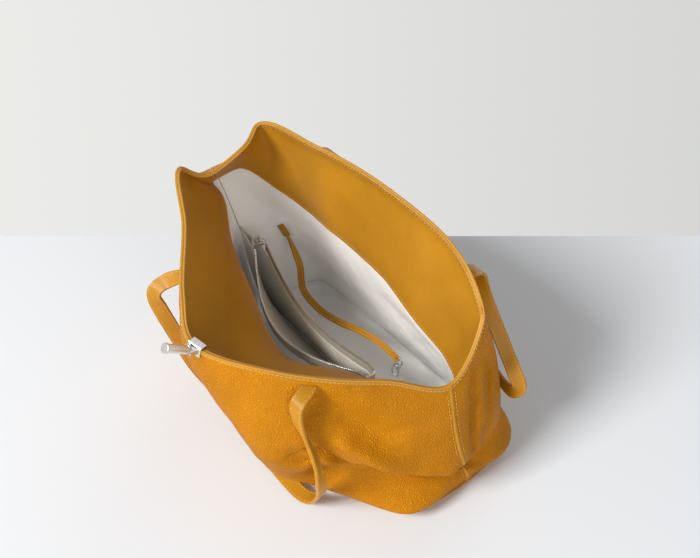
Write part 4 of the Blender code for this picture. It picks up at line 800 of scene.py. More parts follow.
def make_metals():
    """Polished steel with fine wear, nickel, and the base's grey board."""
    for name, tone, roughness in (("polished", 0.80, 0.20), ("nickel", 0.60, 0.28)):
        metal = Finish(name, roughness, 1.0)
        wear = metal.noise(260.0, 5.0)
        metal.feed("Base Color", metal.mix(wear.between(0.3, 0.75), (tone, tone, tone * 0.98),
                                           (tone * 0.84, tone * 0.83, tone * 0.8)))
        metal.feed("Roughness", roughness - 0.03 + 0.07 * metal.noise(900.0, 3.0))
        metal.bump(metal.noise(1400.0, 2.0), 0.000004)
    board = Finish("board", 0.85)
    fibre = board.noise(420.0, 6.0)
    board.feed("Base Color", board.mix(fibre.between(0.3, 0.7), (0.30, 0.28, 0.25),
                                       (0.40, 0.37, 0.33)))
    board.bump(fibre, 0.0001)


def floor_spokes(turns, inset, reaches, height):
    """The base's outline moved inwards, and level points drawn from it to its middle."""
    outline = np.array([base_inset(share, inset) for share in turns])
    middle = outline[:-1].mean(axis=0)
    flat = middle + (outline - middle)[:, None] * reaches[:, None]
    level = np.concatenate((flat, np.full(flat.shape[:2] + (1,), height)), axis=2)
    return outline, middle, level


def make_base_skin(settings):
    """The pebbled leather under the bag."""
    turns = np.linspace(0.0, 2.0, 2 * settings.wall_columns + 1)
    reaches = np.linspace(1.0, FLOOR_CENTRE, 24)
    _, middle, base = floor_spokes(turns, HIDE + SEAT_GAP, reaches, HIDE)
    piece = drawn_grid("base_skin", base, base[..., :2] - middle)
    thicken(piece, HIDE, -1.0)
    finished(piece, ["pebbled_hide"], nodes=["base_panel"])


def make_skins(settings):
    """The outer leather, front and back: pebbled, creased and slumped."""
    rows = np.linspace(0.0, 1.0, settings.wall_rows)
    for side, start in (("front", 0.0), ("back", 1.0)):
        shares = held_shares(start, settings.wall_columns, WELT_WIDTH / 2)
        lattice, normals = skin_wall(shares, rows, settings)
        calm = arch(rows, 0.6) * (rows < DENTED_ROWS)
        dents = waves(lattice, SKIN_DENTS) * settings.wrinkle_share * calm
        piece = sheet(side + "_skin", lattice + normals * dents[..., None], HIDE)
        finished(piece, ["pebbled_hide"], nodes=[side + "_panel"])


def make_side_seams(settings):
    """The raised side seams, and a row of stitches on each side of them."""
    rows = np.linspace(0.0, 1.0, settings.wall_rows)
    # Across a seam: shares of its half width, and of its height above the skin
    profile = np.array(((-1.0, -1.6), (-1.0, 0.1), (-0.55, 0.25), (-0.35, 0.9), (0.0, 1.1),
                        (0.35, 0.9), (0.55, 0.25), (1.0, 0.1), (1.0, -1.6)))
    half = WELT_WIDTH / 2 / FLAT_WIDTH
    lines = []
    for name, seam in (("left", 0.0), ("right", 1.0)):
        shares = seam + half * np.array((-1.0, 0.0, 1.0))
        near, normals = skin_wall(shares, rows, settings)
        middle, out = near[1], normals[1]
        reach = unit(near[2] - near[0]) * WELT_WIDTH / 2
        rings = (middle[:, None] + profile[:, :1] * reach[:, None]
                 + profile[:, 1:] * WELT_PROUD * out[:, None])
        piece = loft(name + "_seam", rings)
        finished(piece, ["strap_leather"], nodes=[name + "_seam_welt"])
        for way in (-1.0, 1.0):
            line = middle + way * reach * SEAM_STITCH_SHARE
            lines.append((line[4:-3], out[4:-3], ROW_END))
    stitch_rows("seam_stitches", lines, settings)


def make_rim(settings):
    """The rim's two painted edges, the smooth strip below it, and its stitches."""
    shares = np.linspace(0.0, 2.0, 2 * settings.wall_columns + 1)[:-1]
    tops = np.array([top_rows(share) for share in shares])
    outs = np.array([top_normals(share)[1] for share in shares])
    rim, fall = tops[:, 2], tops[:, 1] - tops[:, 2]
    depth = (HIDE + LAYER_GAP + FACING) * 1000
    # Across the rim, in millimetres inwards and up: two painted edges with a groove between
    profile = np.array(((-0.66, -0.9), (-0.66, -0.15), (0.0, 0.10), (0.8, 0.18), (1.4, 0.08),
                        (1.75, -0.25), (2.3, -0.25), (2.7, 0.08), (3.1, 0.18), (3.6, 0.10),
                        (depth + 0.06, -0.15), (depth + 0.06, -0.9))) / 1000
    rings = rim[:, None] - profile[:, :1] * outs[:, None] + profile[:, 1:] * unit(-fall)[:, None]
    kinds = [0] * 4 + [1] * 3 + [0] * 5
    piece = loft("rim_edge", closed(rings), kinds=kinds, caps=False)
    finished(piece, ["cut_edge", "smooth_facing"])

    levels = np.linspace(RIM_STRIP, STRIP_LAP, 8) / RIM_BAND
    band = rim[:, None] + fall[:, None] * levels[:, None] + outs[:, None] * STRIP_LIFT
    piece = sheet("rim_strip", closed(band), STRIP_LIFT + STRIP_LAP)
    finished(piece, ["smooth_facing"])

    down = RIM_STITCH / np.linalg.norm(fall, axis=1)
    row, outs = closed(rim + down[:, None] * fall), closed(outs)
    inner = row - outs * (HIDE + LAYER_GAP + FACING + STITCH_LIFT)
    outer = row + outs * (STRIP_LIFT + STITCH_LIFT)
    lines = [(outer, outs, 0.0), (inner, -outs, 0.0)]
    stitch_rows("rim_stitches", lines, settings)


def make_linings(settings):
    """The facings, and the linings that sag below them."""
    lines = []
    for side, start in (("front", 0.0), ("back", 1.0)):
        shares = held_shares(start, settings.wall_columns, SIDE_GAP)
        facing = inner_wall(shares, FACING_LEVEL, INNER_RIM, 34)
        normals = surface_normals(facing)
        soft = waves(facing, FACING_WAVES) * arch(np.linspace(0, 1, 34), 0.7)
        facing = facing + normals * (soft * settings.wrinkle_share)[..., None]
        piece = sheet(side + "_inner_facing", facing, FACING)
        finished(piece, ["smooth_facing"], nodes=[side + "_facing"])
        row, out = facing[:, 1], normals[:, 1]
        lines.append((row - out * (FACING + STITCH_LIFT), -out, ROW_END))

        lining = inner_wall(shares, 0, FACING_LEVEL, settings.cloth_rows, FACING_LAP)
        normals = surface_normals(lining)
        folds = waves(lining, LINING_FOLDS) * arch(np.linspace(0, 1, settings.cloth_rows) ** 0.8,
                                                   0.7)
        lining = lining + normals * (LAP_GAP + LINING
                                     + folds * settings.cloth_wrinkle_share)[..., None]
        piece = sheet(side + "_cloth_lining", lining, LINING)
        finished(piece, ["lining_cloth"], nodes=[side + "_lining"])
        declare_cloth(lining)
    stitch_rows("facing_stitches", lines, settings)


def make_floor_cloth(settings):
    """The cloth on the bag's floor, with its edge turned up to the side linings."""
    turns = np.linspace(0.0, 2.0, 2 * settings.wall_columns + 1)
    reaches = np.linspace(1.0, FLOOR_CENTRE, 60) ** 0.8
    outline, middle, disc = floor_spokes(turns, LINING_INSET + SEAT_GAP, reaches, STACK_TOP)
    uvs = disc[..., :2] - middle
    edge = np.linalg.norm((outline - middle)[:, None] * (1 - reaches[:, None]), axis=2)
    upturn = np.clip(1 - edge / FLOOR_TURN, 0, 1)
    slack = (ripple(disc, FLOOR_WAVE_SIZE, FLOOR_WAVE_SEED) + 1.0) * FLOOR_SLACK
    slack = slack * settings.cloth_wrinkle_share
    disc[..., 2] += FLOOR_RISE * (1 - np.sqrt(1 - upturn ** 2)) + slack * (1 - upturn)
    for index, share in enumerate(turns):
        side_wall = inner_wall((share,), 0, 1, 40)[0]
        lift = disc[index, :, 2]
        reach = np.stack([np.interp(lift, side_wall[:, 2], side_wall[:, k]) for k in (0, 1)], 1)
        pull = (upturn[index] ** 3)[:, None]
        inward = unit(middle - reach) * SIDE_GAP
        disc[index, :, :2] = disc[index, :, :2] * (1 - pull) + (reach + inward) * pull
    piece = drawn_grid("floor_cloth", disc, uvs)
    select_only(piece)
    bpy.ops.object.mode_set(mode="EDIT")
    bpy.ops.mesh.select_all(action="SELECT")
    bpy.ops.mesh.remove_doubles(threshold=1e-6)
    bpy.ops.object.mode_set(mode="OBJECT")
    thicken(piece, FLOOR_CLOTH, -1.0)
    finished(piece, ["lining_cloth"], nodes=["base_lining"])
    declare_cloth(disc)


def declare_cloth(lattice):
    """Works out the cross products of a sheet's cells, and keeps nothing of them."""
    sides = np.cross(lattice[1:, :-1] - lattice[:-1, :-1], lattice[:-1, 1:] - lattice[:-1, :-1])


def pocket_mouth():
    """The divider's top line: its ends at the side linings, and the zip's straight run."""
    left, out_left = at_height(0.0, POCKET_HEIGHTS[0.0])
    right, out_right = at_height(1.0, POCKET_HEIGHTS[1.0])
    left = left - out_left * (POCKET_SIDE_GAP + POCKET)
    right = right - out_right * (POCKET_SIDE_GAP + POCKET)
    shift = np.array((0, -POCKET_SHIFT, 0))
    start = left + ZIP_START * (right - left) + ZIP_START_SHIFT * shift
    along = unit(left + ZIP_AIM * (right - left) + shift - start)
    return left, start, start + along * ZIP_LENGTH, right


def zip_slack(runs):
    """How slack the zip hangs at lengths along it: none near its ends, where the slider stops."""
    return arch(np.clip((runs - ZIP_HELD) / (ZIP_LENGTH - 2 * ZIP_HELD), 0, 1))


def pocket_wall(way, bow):
    """One cotton wall of the divider pocket, from its bottom up, column by column."""
    left, start, end, right = pocket_mouth()
    runs = np.linspace(0.0, 1.0, POCKET_CELLS + 1)
    stations = [left] + [start + (end - start) * run for run in runs] + [right]
    swell = np.concatenate(([0.0], arch(runs), [0.0]))
    slack = np.concatenate(([0.0], zip_slack(runs * ZIP_LENGTH), [0.0]))
    levels = np.linspace(1.0, 0.0, 31)
    seam_half, edge = (POCKET + SEAT_GAP) / 2, POCKET + POCKET_SIDE_GAP
    sides = [inner_wall((share,), 0, INNER_RIM, 120)[0] for share in (0.0, 1.0)]
    lattice = []
    for index, top in enumerate(stations):
        end_column = index in (0, len(stations) - 1)
        open_half = seam_half if end_column else ZIP_HALF
        heights = top[2] + (POCKET_BOTTOM - top[2]) * levels
        low_left, low_right = [np.stack([np.interp(heights, side[:, 2], side[:, k])
                                         for k in range(2)], axis=1) for side in sides]
        low = low_left + (low_right - low_left) * index / (len(stations) - 1)
        x = top[0] + (low[:, 0] - top[0]) * levels
        x = low_left[:, 0] + edge if index == 0 else x
        x = low_right[:, 0] - edge if index == len(stations) - 1 else x
        closing = (1 - levels) ** 0.8
        y = top[1] + (low[:, 1] - top[1]) * levels * POCKET_LEAN
        y = y + way * (seam_half + (open_half - seam_half + bow * swell[index]) * closing)
        y = y - ZIP_SLACK * slack[index] * closing
        heights = heights - ZIP_SAG * slack[index] * (1 - levels) ** 2
        lattice.append(np.stack((x, y, heights), axis=1))
    lattice = np.array(lattice)
    at = np.linspace(0, len(lattice) - 1, 113)
    near = np.arange(len(lattice))
    return np.stack([[np.interp(at, near, lattice[:, row, k]) for row in range(len(levels))]
                     for k in range(3)], axis=2).transpose(1, 0, 2)


def make_pocket(settings):
    """The zipped divider: its two cotton walls with their hems."""
    lines = []
    for name, way, bow in (("front", -1, ZIP_BOW), ("back", 1, 0.0)):
        wall = pocket_wall(way, bow)
        normals = surface_normals(wall)
        calm = arch(np.linspace(0, 1, wall.shape[1]), 0.7)
        around = arch(np.linspace(0, 1, wall.shape[0]), 0.4)
        folds = waves(wall, POCKET_FOLDS) * calm * around[:, None]
        wall = wall + normals * (folds * settings.cloth_wrinkle_share)[..., None]
        piece = drawn_grid("pocket_" + name + "_cloth", wall)
        thicken(piece, POCKET)
        finished(piece, ["pocket_cloth"], nodes=["pocket_" + name + "_wall"])
        declare_cloth(wall)
        hem = wall[8:-8, -4]
        for face in (-1, 1):
            out = normals[8:-8, -4] * face
            lines.append((hem + out * (POCKET / 2 + STITCH_LIFT), out, ROW_END / 2))
    stitch_rows("pocket_stitches", lines, settings)


def make_zip_rows(settings):
    """The zip's two tapes with their rows of single teeth, open from end to end."""
    _, start, end, _ = pocket_mouth()
    along = unit(end - start)
    first, last = SLIDER + SEAT_GAP, ZIP_LENGTH - ZIP_END - SEAT_GAP
    rows = np.linspace(0, 1, 9)
    runs = np.linspace(first, last, 100)
    for name, way, bow in (("front", -1, ZIP_BOW), ("back", 1, 0.0)):
        lip = start + along * runs[:, None]
        swell, slack = arch(runs / ZIP_LENGTH), zip_slack(runs)
        lip[:, 1] += way * (ZIP_HALF + bow * swell) - ZIP_SLACK * slack
        lip[:, 2] -= ZIP_SAG * slack
        levels = SEAT_GAP + TAPE_WIDTH * rows
        tape = lip[:, None] + np.array((0, 0, 1)) * levels[None, :, None]
        tape[..., 1] += waves(tape, TAPE_WAVES) * arch(rows)
        piece = drawn_grid("zip_" + name + "_tape", tape)
        thicken(piece, TAPE)
        finished(piece, ["tape_cloth"], nodes=["zip_tape_" + name])
        chain = tape[:, -1] + np.array((0, 0, SEAT_GAP + CHAIN / 2 - TOOTH_SINK))
        at = walk(chain, settings.tooth_pitch)
        spots = read_line(chain, at)
        tangents = read_line(np.gradient(chain, axis=0), at)
        side = np.array((0.0, -float(way), 0.0))
        places = [place_matrix(spot, ahead, side) for spot, ahead in zip(spots, tangents)]
        bpy.ops.object.select_all(action="DESELECT")
        bpy.ops.mesh.primitive_cube_add(size=1)
        tooth = added("tooth")
        tooth.data.transform(Matrix.Diagonal((settings.tooth_pitch * TOOTH_FILL, CHAIN,
                                              CHAIN, 1)))
        apply_modifier(tooth, "BEVEL", {"width": TOOTH_BEVEL, "segments": 1})
        piece = copies("zip_" + name + "_teeth", tooth, places)
        finished(piece, ["nickel"], nodes=["zip_teeth_" + name])


def make_zip_ends():
    """The tape's folded ends beyond the zip's two ends."""
    _, start, end, _ = pocket_mouth()
    along = unit(end - start)
    rise = np.linspace(SEAT_GAP, SEAT_GAP + TAPE_WIDTH + CHAIN, 7)
    bends = np.linspace(-math.pi / 2, math.pi / 2, 25)
    half = ZIP_END / 2
    for name, run, way in (("left", -half - SLIDER_STOP, -1), ("right", ZIP_LENGTH - half, 1)):
        foot = start + along * run
        reach = half * (2 * np.cos(bends) ** 0.7 - 1)
        turn = foot + way * reach[:, None] * along + ZIP_HALF * np.sin(bends)[:, None] * (0, 1, 0)
        lattice = turn[:, None] + rise[None, :, None] * (0, 0, 1)
        piece = drawn_grid("zip_" + name + "_fold", lattice)
        thicken(piece, TAPE)
        finished(piece, ["pocket_cloth"], nodes=["zip_end_" + name])


def slot_axes(share):
    """Where a handle's end goes into the outer skin, below the rim: the place, and the ways along
    the rim, up, and out of the bag.
    """
    rows = top_rows(share)
    out = top_normals(share)[0]
    place = rows[2] + SLOT_DEPTH / np.linalg.norm(rows[2] - rows[1]) * (rows[1] - rows[2])
    along = top_rows(share + NORMAL_STEP)[1] - top_rows(share - NORMAL_STEP)[1]
    up = unit(np.cross(out, along))
    return place, np.cross(up, out), up, out


class Strap:
    """A flat strap with rounded edges: its middle line, its ways across and out, its rings."""

    # The painted edges are 1, the two faces are 0
    SIDES = [1] + [0] * 4 + [1, 1, 1] + [0] * 4 + [1, 1]

    def __init__(self, points, widths, width, thicknesses, rounding, settings):
        steps = settings.strap_steps
        knots = chord_knots(points)
        at = np.linspace(knots[0], knots[-1], steps)
        middle, across = smooth(knots, points, at), smooth(knots, widths, at)
        reach = steps // 6
        for _ in range(rounding):
            for line in (middle, across):
                eased = (line[1:-3] + 2 * line[2:-2] + line[3:-1]) / 4
                line[2:reach], line[-reach:-2] = eased[:reach - 2], eased[2 - reach:]
        ahead = unit(np.gradient(middle, axis=0))
        across = unit(across - ahead * (across * ahead).sum(axis=1)[:, None])
        out = np.cross(across, ahead)
        depth = np.interp(np.linspace(0, 1, steps), *thicknesses)
        half, bend = width / 2, STRAP_EDGE_BEND
        profile = ((-half, -0.45), (bend - half, -1.0), (-half / 2, -1.04), (0.0, -1.06),
                   (half / 2, -1.04), (half - bend, -1.0), (half, -0.45), (half, 0.45),
                   (half - bend, 1.0), (half / 2, 1.04), (0.0, 1.06), (-half / 2, 1.04),
                   (bend - half, 1.0), (-half, 0.45))
        self.rings = np.stack([middle + aside * across + rise * out * depth[:, None] / 2
                               for aside, rise in profile], axis=1)
        self.middle, self.across, self.out, self.depth = middle, across, out, depth
        self.half, self.settings = half, settings

    def nearest(self, place, first, last):
        """The section nearest to a place, between two others."""
        distance = np.linalg.norm(self.middle[first:last] - place, axis=1)
        return int(np.argmin(distance)) + first

    def length(self, name, part):
        """One length of the strap, still without its materials."""
        return loft(name, self.rings[part], kinds=self.SIDES)

    def stitches(self, name, part, ends, body):
        """Four rows of stitches on one length: near both edges of both faces."""
        middle, across, out = self.middle[part], self.across[part], self.out[part]
        lines = []
        for way in (-1, 1):
            for face in (-1, 1):
                row = middle + way * across * (self.half - STRAP_STITCH_INSET)
                row = row + face * out * (self.depth[part][:, None] / 2 * STRAP_STITCH_PROUD)
                lines.append((row, out * face, ends))
        return stitch_rows(name, lines, self.settings, body)


def finished_strap(piece, body, node):
    """Gives a length of strap its leather, its painted edges, its body and its node."""
    return finished(piece, ["strap_leather", "cut_edge"], body, [node])


def handle_ends(side, start):
    """Each sewn end of a handle: its line, the rim's way, the way out, and its last way."""
    ends = []
    for direction in ((-1, 1) if start == 0 else (1, -1)):
        share = start + HANDLE_MIDDLE + direction * HANDLE_SPACING / 2 / FLAT_WIDTH
        place, along, up, out = slot_axes(share)
        lean = RIGHT_END_LEAN if (side == "front" and direction == 1) else 0.0
        line = [place - out * HIDE, place + out * HIDE]
        for aside, rise, reach in (STRAP_BEND, STRAP_TIP):
            line.append(place + STRAP_END_REACH * (aside * lean * along + rise * up
                                                   + reach * out))
        ends.append((line, along, out, unit(line[-1] - line[-2])))
    return ends


def make_handle(side, start, route, turns, settings):
    """A handle: its two sewn ends that bend at the rim, and the strap between them."""
    ends = handle_ends(side, start)
    chord = unit(ends[1][0][-1] - ends[0][0][-1])
    pivots = []
    for line, along, out, way in ends:
        rise = unit(np.cross(chord, way))
        pivots.append(line[-1] + rise * np.sign(np.dot(rise, out)) * PIVOT_RISE)
    fold = unit(pivots[1] - pivots[0])
    lines, widths = [], []
    for (line, along, out, way), turn in zip(ends, (turns[0], turns[-1])):
        folded = fold * np.sign(np.dot(fold, np.array(turn)))
        flat = along * np.sign(np.dot(along, folded))
        lines.append(line + [line[-1] + way * lead for lead in STRAP_LEADS])
        widths.append([flat, flat, folded, folded, folded, folded])
    points = np.array(lines[0] + [placed(s) for s in route] + lines[1][::-1])
    ways = np.array(widths[0] + [unit(np.array(t)) for t in turns] + widths[1][::-1])
    thin, thick = STRAP_END_THICKNESS, HANDLE_THICKNESS
    taper = (HANDLE_TAPER, (thin, thin, thick, thick, thin, thin))
    strap = Strap(points, ways, HANDLE_WIDTH, taper, HANDLE_ROUNDING, settings)
    body = side + "_handle"
    steps = settings.strap_steps
    places = [line[-1] + way * STRAP_CUT for line, _, _, way in ends]
    low = strap.nearest(places[0], 0, steps // 3)
    high = strap.nearest(places[1], 2 * steps // 3, steps)
    for name, part, end in (("left", slice(0, low + 1), ends[0]),
                            ("right", slice(high, steps), ends[1])):
        piece = strap.length(body + "_" + name + "_end", part)
        stitches = strap.stitches(body + "_" + name + "_stitches", part, END_ROW_HELD, None)
        finished_strap(piece, None, side + "_" + name + "_strap_end")
        tip, way = end[0][-1], end[3]
        for item in (piece, stitches):
            Vector(tip - way * 0.004)
            Vector(tip + way * 0.006)
            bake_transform(item)
    part = slice(low, high + 1)
    finished_strap(strap.length(body + "_strap", part), body, body)
    strap.stitches(body + "_strap_stitches", part, STRAP_ROW_HELD, body)


def make_leash(settings):
    """The key leash: its sewn end on the lining, and the strap that runs to the hook."""
    spots = []
    for share, height in (LEASH_TOP, LEASH_FOLD):
        point, out = at_height(share, height * RIM_HEIGHT)
        spots.append((point - out * (LEASH_STANDOFF + LEASH_THICKNESS / 2), out))
    (top, _), (fold, fold_out) = spots
    along = unit(fold - top)
    flat = unit(np.cross(fold_out, along))
    points = np.array([top, (top + fold) / 2, fold, fold + along * LEASH_LEAD]
                      + [placed(s) for s in LEASH_ROUTE])
    ways = np.array([flat] * 4 + [unit(np.array(t)) for t in LEASH_TURNS])
    ways[3] = unit(ways[2] + ways[4])
    even = ((0.0, 1.0), (LEASH_THICKNESS, LEASH_THICKNESS))
    strap = Strap(points, ways, LEASH_WIDTH, even, LEASH_ROUNDING, settings)
    cut = strap.nearest(fold + along * STRAP_CUT, 0, settings.strap_steps // 3)
    sewn = slice(0, cut + 1)
    piece = finished_strap(strap.length("leash_sewn_end", sewn), None, "leash_tab")
    stitches = strap.stitches("leash_end_stitches", sewn, LEASH_ROW_HELD, None)
    for item in (piece, stitches):
        Vector(fold - along * 0.002)
        Vector(fold + along * 0.007)
        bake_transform(item)
    piece = strap.length("leash_long_strap", slice(cut, None))
    way = unit(points[-1] - points[-2])
    hole = points[-1] - way * LEASH_HOLE_INSET
    bpy.ops.object.select_all(action="DESELECT")
    bpy.ops.mesh.primitive_cylinder_add(vertices=20, radius=LEASH_HOLE, depth=2 * LEASH_WIDTH)
    punch = added("leash_punch")
    punch.data.transform(place_matrix(hole, way, strap.out[-2]))
    apply_modifier(piece, "BOOLEAN", {"operation": "DIFFERENCE", "object": punch,
                                      "solver": "EXACT"})
    bpy.data.objects.remove(punch, do_unlink=True)
    finished_strap(piece, "leash", "leash_strap")
    strap.stitches("leash_strap_stitches", slice(cut, -6), STRAP_ROW_HELD, "leash")


def finish_parts():
    """The metal and board of the part keep their own solids and get their finishes."""
    looks = {"zip_slider": "nickel", "zip_pull_ring": "nickel", "swivel_eye": "polished",
             "hook_body": "polished", "gate_pin": "polished", "hook_gate": "polished",
             "clasp_clip": "polished", "clasp_pin": "polished", "clasp_bar": "polished",
             "clasp_cap": "polished", "base_board": "board"}
    for name, look in looks.items():
        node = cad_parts[name]
        node.data.materials.clear()
        node.data.materials.append(MATERIALS[look])


def make_table(settings):
    """A pale, matt table whose far edge runs straight across the picture."""
    paint = Finish("table_paint", 0.6, gloss=0.1)
    cloud = paint.noise(3.0, 2.0)
    paint.feed("Base Color", paint.mix(cloud, shade(settings.table_colour, 0.985),
                                       shade(settings.table_colour, 1.01)))
    bpy.ops.object.select_all(action="DESELECT")
    bpy.ops.mesh.primitive_plane_add(size=TABLE_SIZE)
    table = added("stage_table")
    ahead = Vector((-CAMERA_RIGHT.y, CAMERA_RIGHT.x, 0.0))
    centre = ahead * (settings.table_edge - TABLE_SIZE / 2) - Vector((0, 0, TABLE_DROP))
    table.matrix_world = (Matrix.Translation(centre)
                          @ Matrix.Rotation(math.atan2(CAMERA_RIGHT.y, CAMERA_RIGHT.x), 4, "Z"))
    table.data.materials.append(paint.material)
    return table


def make_surround(settings):
    """The world: a pale surround behind the table with painted shade towards its right, soft fill
    light, and what metal mirrors.
    """
    world = bpy.data.worlds.new("studio")
    bpy.context.scene.world = world
    world.use_nodes = True
    backdrop = world.node_tree.nodes["Background"]
    tree = world.node_tree
    rays = tree.nodes.new("ShaderNodeLightPath")
    seen, shiny = [Wire(tree, rays.outputs[name]) for name in ("Is Camera Ray", "Is Glossy Ray")]
    split = tree.nodes.new("ShaderNodeSeparateXYZ")
    tree.links.new(tree.nodes.new("ShaderNodeTexCoord").outputs["Generated"], split.inputs[0])
    # Painted shade: the surround that the camera sees is painted darker towards the right, where
    # less light falls on it
    aside = (Wire(tree, split.outputs[0]) * CAMERA_RIGHT.x
             + Wire(tree, split.outputs[1]) * CAMERA_RIGHT.y).between(-PAINTED_SHADE_REACH, PAINTED_SHADE_REACH)
    colour = settings.surround_colour
    surround_with_painted_shade = mixed(tree, aside, colour, shade(colour, RIGHT_PAINTED_SHADE))
    lit = mixed(tree, seen, LIGHT_COLOUR, surround_with_painted_shade)
    tree.links.new(lit.socket, backdrop.inputs["Color"])
    fill, shine = settings.fill_light, settings.shine_light
    strength = fill + seen * (1.0 - fill) + shiny * (shine - fill)
    tree.links.new(strength.socket, backdrop.inputs["Strength"])


def make_lights(settings):
    """Soft square lights that face the bag."""
    lights = []
    for name, spot, size, power in LIGHTS:
        bpy.ops.object.select_all(action="DESELECT")
        bpy.ops.object.light_add(type="AREA", location=spot)
        light = added(name)
        light.data.shape = "SQUARE"
        light.data.size = size
        light.data.energy = getattr(settings, power)
        light.data.color = LIGHT_COLOUR
        light.rotation_euler = Vector(spot).to_track_quat("Z", "Y").to_euler()
        lights.append(light)
    return lights


def make_camera():
    """The camera, above the bag's front right corner."""
    bpy.ops.object.camera_add(location=CAMERA_PLACE)
    camera = added("camera")
    back = CAMERA_RIGHT.cross(CAMERA_UP).normalized()
    up = back.cross(CAMERA_RIGHT)
    camera.rotation_euler = Matrix((CAMERA_RIGHT, up, back)).transposed().to_euler()
    camera.data.lens = 50.0
    camera.data.sensor_width = 36.0
    bpy.context.scene.camera = camera


def make_stage(settings):
    """A pale table before a pale surround, soft light, and the camera."""
    table = make_table(settings)
    make_surround(settings)
    lights = make_lights(settings)
    make_camera()
    bpy.context.scene.view_settings.view_transform = "Standard"


def colour_setting(name, default, words):
    """A colour that the user may change."""
    return bpy.props.FloatVectorProperty(name=name, description=words, default=default,
                                         size=3, min=0.0, max=1.0, subtype="COLOR")


def number_setting(name, default, words, **limits):
    """A number that the user may change, with its limits and its unit."""
    return bpy.props.FloatProperty(name=name, description=words, default=default, **limits)


def count_setting(name, default, words, least):
    """A count that the user may change."""
    return bpy.props.IntProperty(name=name, description=words, default=default, min=least)


class ToteBagSettings(bpy.types.PropertyGroup):
    """What a user may change on the bag's looks."""

    hide_colour: colour_setting("Hide", (0.66, 0.245, 0.0022), "Colour of the outer leather")
    facing_colour: colour_setting("Facing", (0.43, 0.192, 0.009), "Colour of the smooth leather")
    edge_colour: colour_setting("Cut edge", (0.56, 0.27, 0.026), "Colour of the cut edges")
    thread_colour: colour_setting("Thread", (0.80, 0.47, 0.12), "Colour of the stitches")
    lining_colour: colour_setting("Lining", (0.92, 0.925, 0.915), "Colour of the lining cloth")
    pocket_colour: colour_setting("Pocket", (0.82, 0.80, 0.74), "Colour of the pocket cloth")
    tape_colour: colour_setting("Zip tape", (0.44, 0.40, 0.33), "Colour of the zip's tape")
    table_colour: colour_setting("Table", (0.77, 0.80, 0.84), "Colour of the table")
    surround_colour: colour_setting("Surround", (0.86, 0.86, 0.84), "Colour behind the table")
    grain_scale: number_setting("Grain", 440.0, "Pebbles of the hide per metre", min=100.0)
    fold_share: number_setting("Leather folds", 1.0, "Depth of the leather's folds", min=0.0)
    wrinkle_share: number_setting("Leather dents", 1.0, "Depth of the leather's dents", min=0.0)
    cloth_wrinkle_share: number_setting("Cloth folds", 1.0, "Depth of the cloth's folds", min=0.0)
    stitch_pitch: number_setting("Stitch pitch", 0.0040, "Length of one stitch with its gap",
                                 min=0.002, max=0.01, unit="LENGTH")
    tooth_pitch: number_setting("Tooth pitch", 0.0024, "Distance between the zip's teeth",
                                min=0.001, max=0.01, unit="LENGTH")
    wall_columns: count_setting("Columns", 190, "Points across each side of the bag", 40)
    wall_rows: count_setting("Rows", 120, "Points up the outer leather", 20)
    cloth_rows: count_setting("Cloth rows", 60, "Points up the lining", 20)
    strap_steps: count_setting("Strap steps", 170, "Sections along each strap", 40)
    table_edge: number_setting("Table edge", 0.269, "From the bag's middle to the far edge",
                               unit="LENGTH")
    fill_light: number_setting("Fill light", 0.27, "Strength of the light from all round")
    shine_light: number_setting("Shine", 0.75, "Strength of the light that metal mirrors")
    key_light: number_setting("Key light", 262.0, "Power of the light from the front",
                              unit="POWER")
    side_light: number_setting("Side light", 36.0, "Power of the light from the right",
                               unit="POWER")
    back_light: number_setting("Back light", 28.0, "Power of the light from behind",
                               unit="POWER")


class ToteBagStep:
    """What every step of the bag shares."""

    bl_options = {"REGISTER", "UNDO"}

    def execute(self, context):
        """Makes this step's pieces with the scene's settings."""
        self.make(context.scene.tote_bag)
        return {"FINISHED"}


class TOTE_OT_materials(ToteBagStep, bpy.types.Operator):
    """Makes the leather, cloth and metal finishes"""

    bl_idname = "tote.materials"
    bl_label = "Finishes"

    def make(self, settings):
        make_leathers(settings)
        make_cloths(settings)
        make_metals()
        finish_parts()


class TOTE_OT_skins(ToteBagStep, bpy.types.Operator):
    """Makes the outer leather with its seams, rim and stitches"""

    bl_idname = "tote.skins"
    bl_label = "Outer leather"

    def make(self, settings):
        make_base_skin(settings)
        make_skins(settings)
        make_side_seams(settings)
        make_rim(settings)


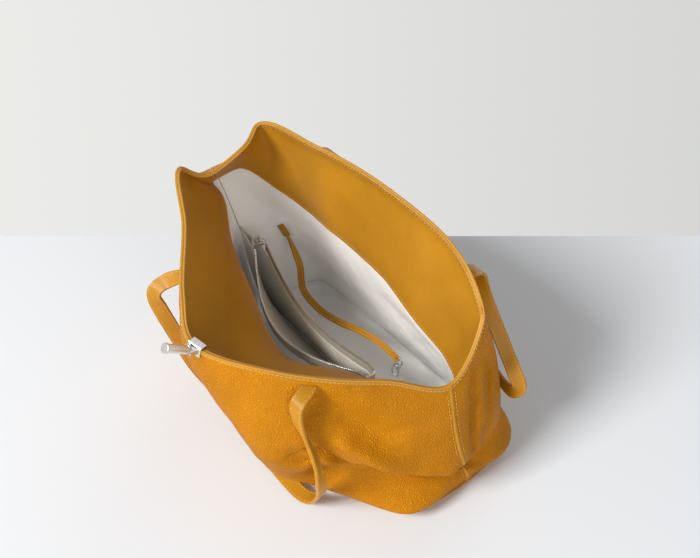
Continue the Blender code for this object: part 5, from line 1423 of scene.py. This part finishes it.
class TOTE_OT_inside(ToteBagStep, bpy.types.Operator):
    """Makes the facings, linings and floor cloth"""

    bl_idname = "tote.inside"
    bl_label = "Inside"

    def make(self, settings):
        make_linings(settings)
        make_floor_cloth(settings)


class TOTE_OT_pocket(ToteBagStep, bpy.types.Operator):
    """Makes the zipped divider pocket"""

    bl_idname = "tote.pocket"
    bl_label = "Pocket"

    def make(self, settings):
        make_pocket(settings)
        make_zip_rows(settings)
        make_zip_ends()


class TOTE_OT_straps(ToteBagStep, bpy.types.Operator):
    """Makes both handles and the key leash"""

    bl_idname = "tote.straps"
    bl_label = "Straps"

    def make(self, settings):
        make_handle("front", 0.0, FRONT_HANDLE_ROUTE, FRONT_HANDLE_TURNS, settings)
        make_handle("back", 1.0, BACK_HANDLE_ROUTE, BACK_HANDLE_TURNS, settings)
        make_leash(settings)


class TOTE_OT_stage(ToteBagStep, bpy.types.Operator):
    """Makes the table, the surround, the lights and the camera"""

    bl_idname = "tote.stage"
    bl_label = "Stage"

    def make(self, settings):
        make_stage(settings)


STEPS = (TOTE_OT_materials, TOTE_OT_skins, TOTE_OT_inside, TOTE_OT_pocket, TOTE_OT_straps,
         TOTE_OT_stage)


class TOTE_PT_panel(bpy.types.Panel):
    """The bag's settings and steps"""

    bl_label = "Tote bag"
    bl_idname = "TOTE_PT_panel"
    bl_space_type = "VIEW_3D"
    bl_region_type = "UI"
    bl_category = "Tote bag"

    def draw(self, context):
        settings = context.scene.tote_bag
        for name in ToteBagSettings.__annotations__:
            self.layout.prop(settings, name)
        for step in STEPS:
            self.layout.operator(step.bl_idname)


CLASSES = (ToteBagSettings,) + STEPS + (TOTE_PT_panel,)


def register():
    for cls in CLASSES:
        bpy.utils.register_class(cls)
    bpy.types.Scene.tote_bag = bpy.props.PointerProperty(type=ToteBagSettings)


def unregister():
    del bpy.types.Scene.tote_bag
    for cls in reversed(CLASSES):
        bpy.utils.unregister_class(cls)


def main():
    """Runs every step in order."""
    register()
    bpy.ops.tote.materials()
    bpy.ops.tote.skins()
    bpy.ops.tote.inside()
    bpy.ops.tote.pocket()
    bpy.ops.tote.straps()
    bpy.ops.tote.stage()


if __name__ == "__main__":
    main()
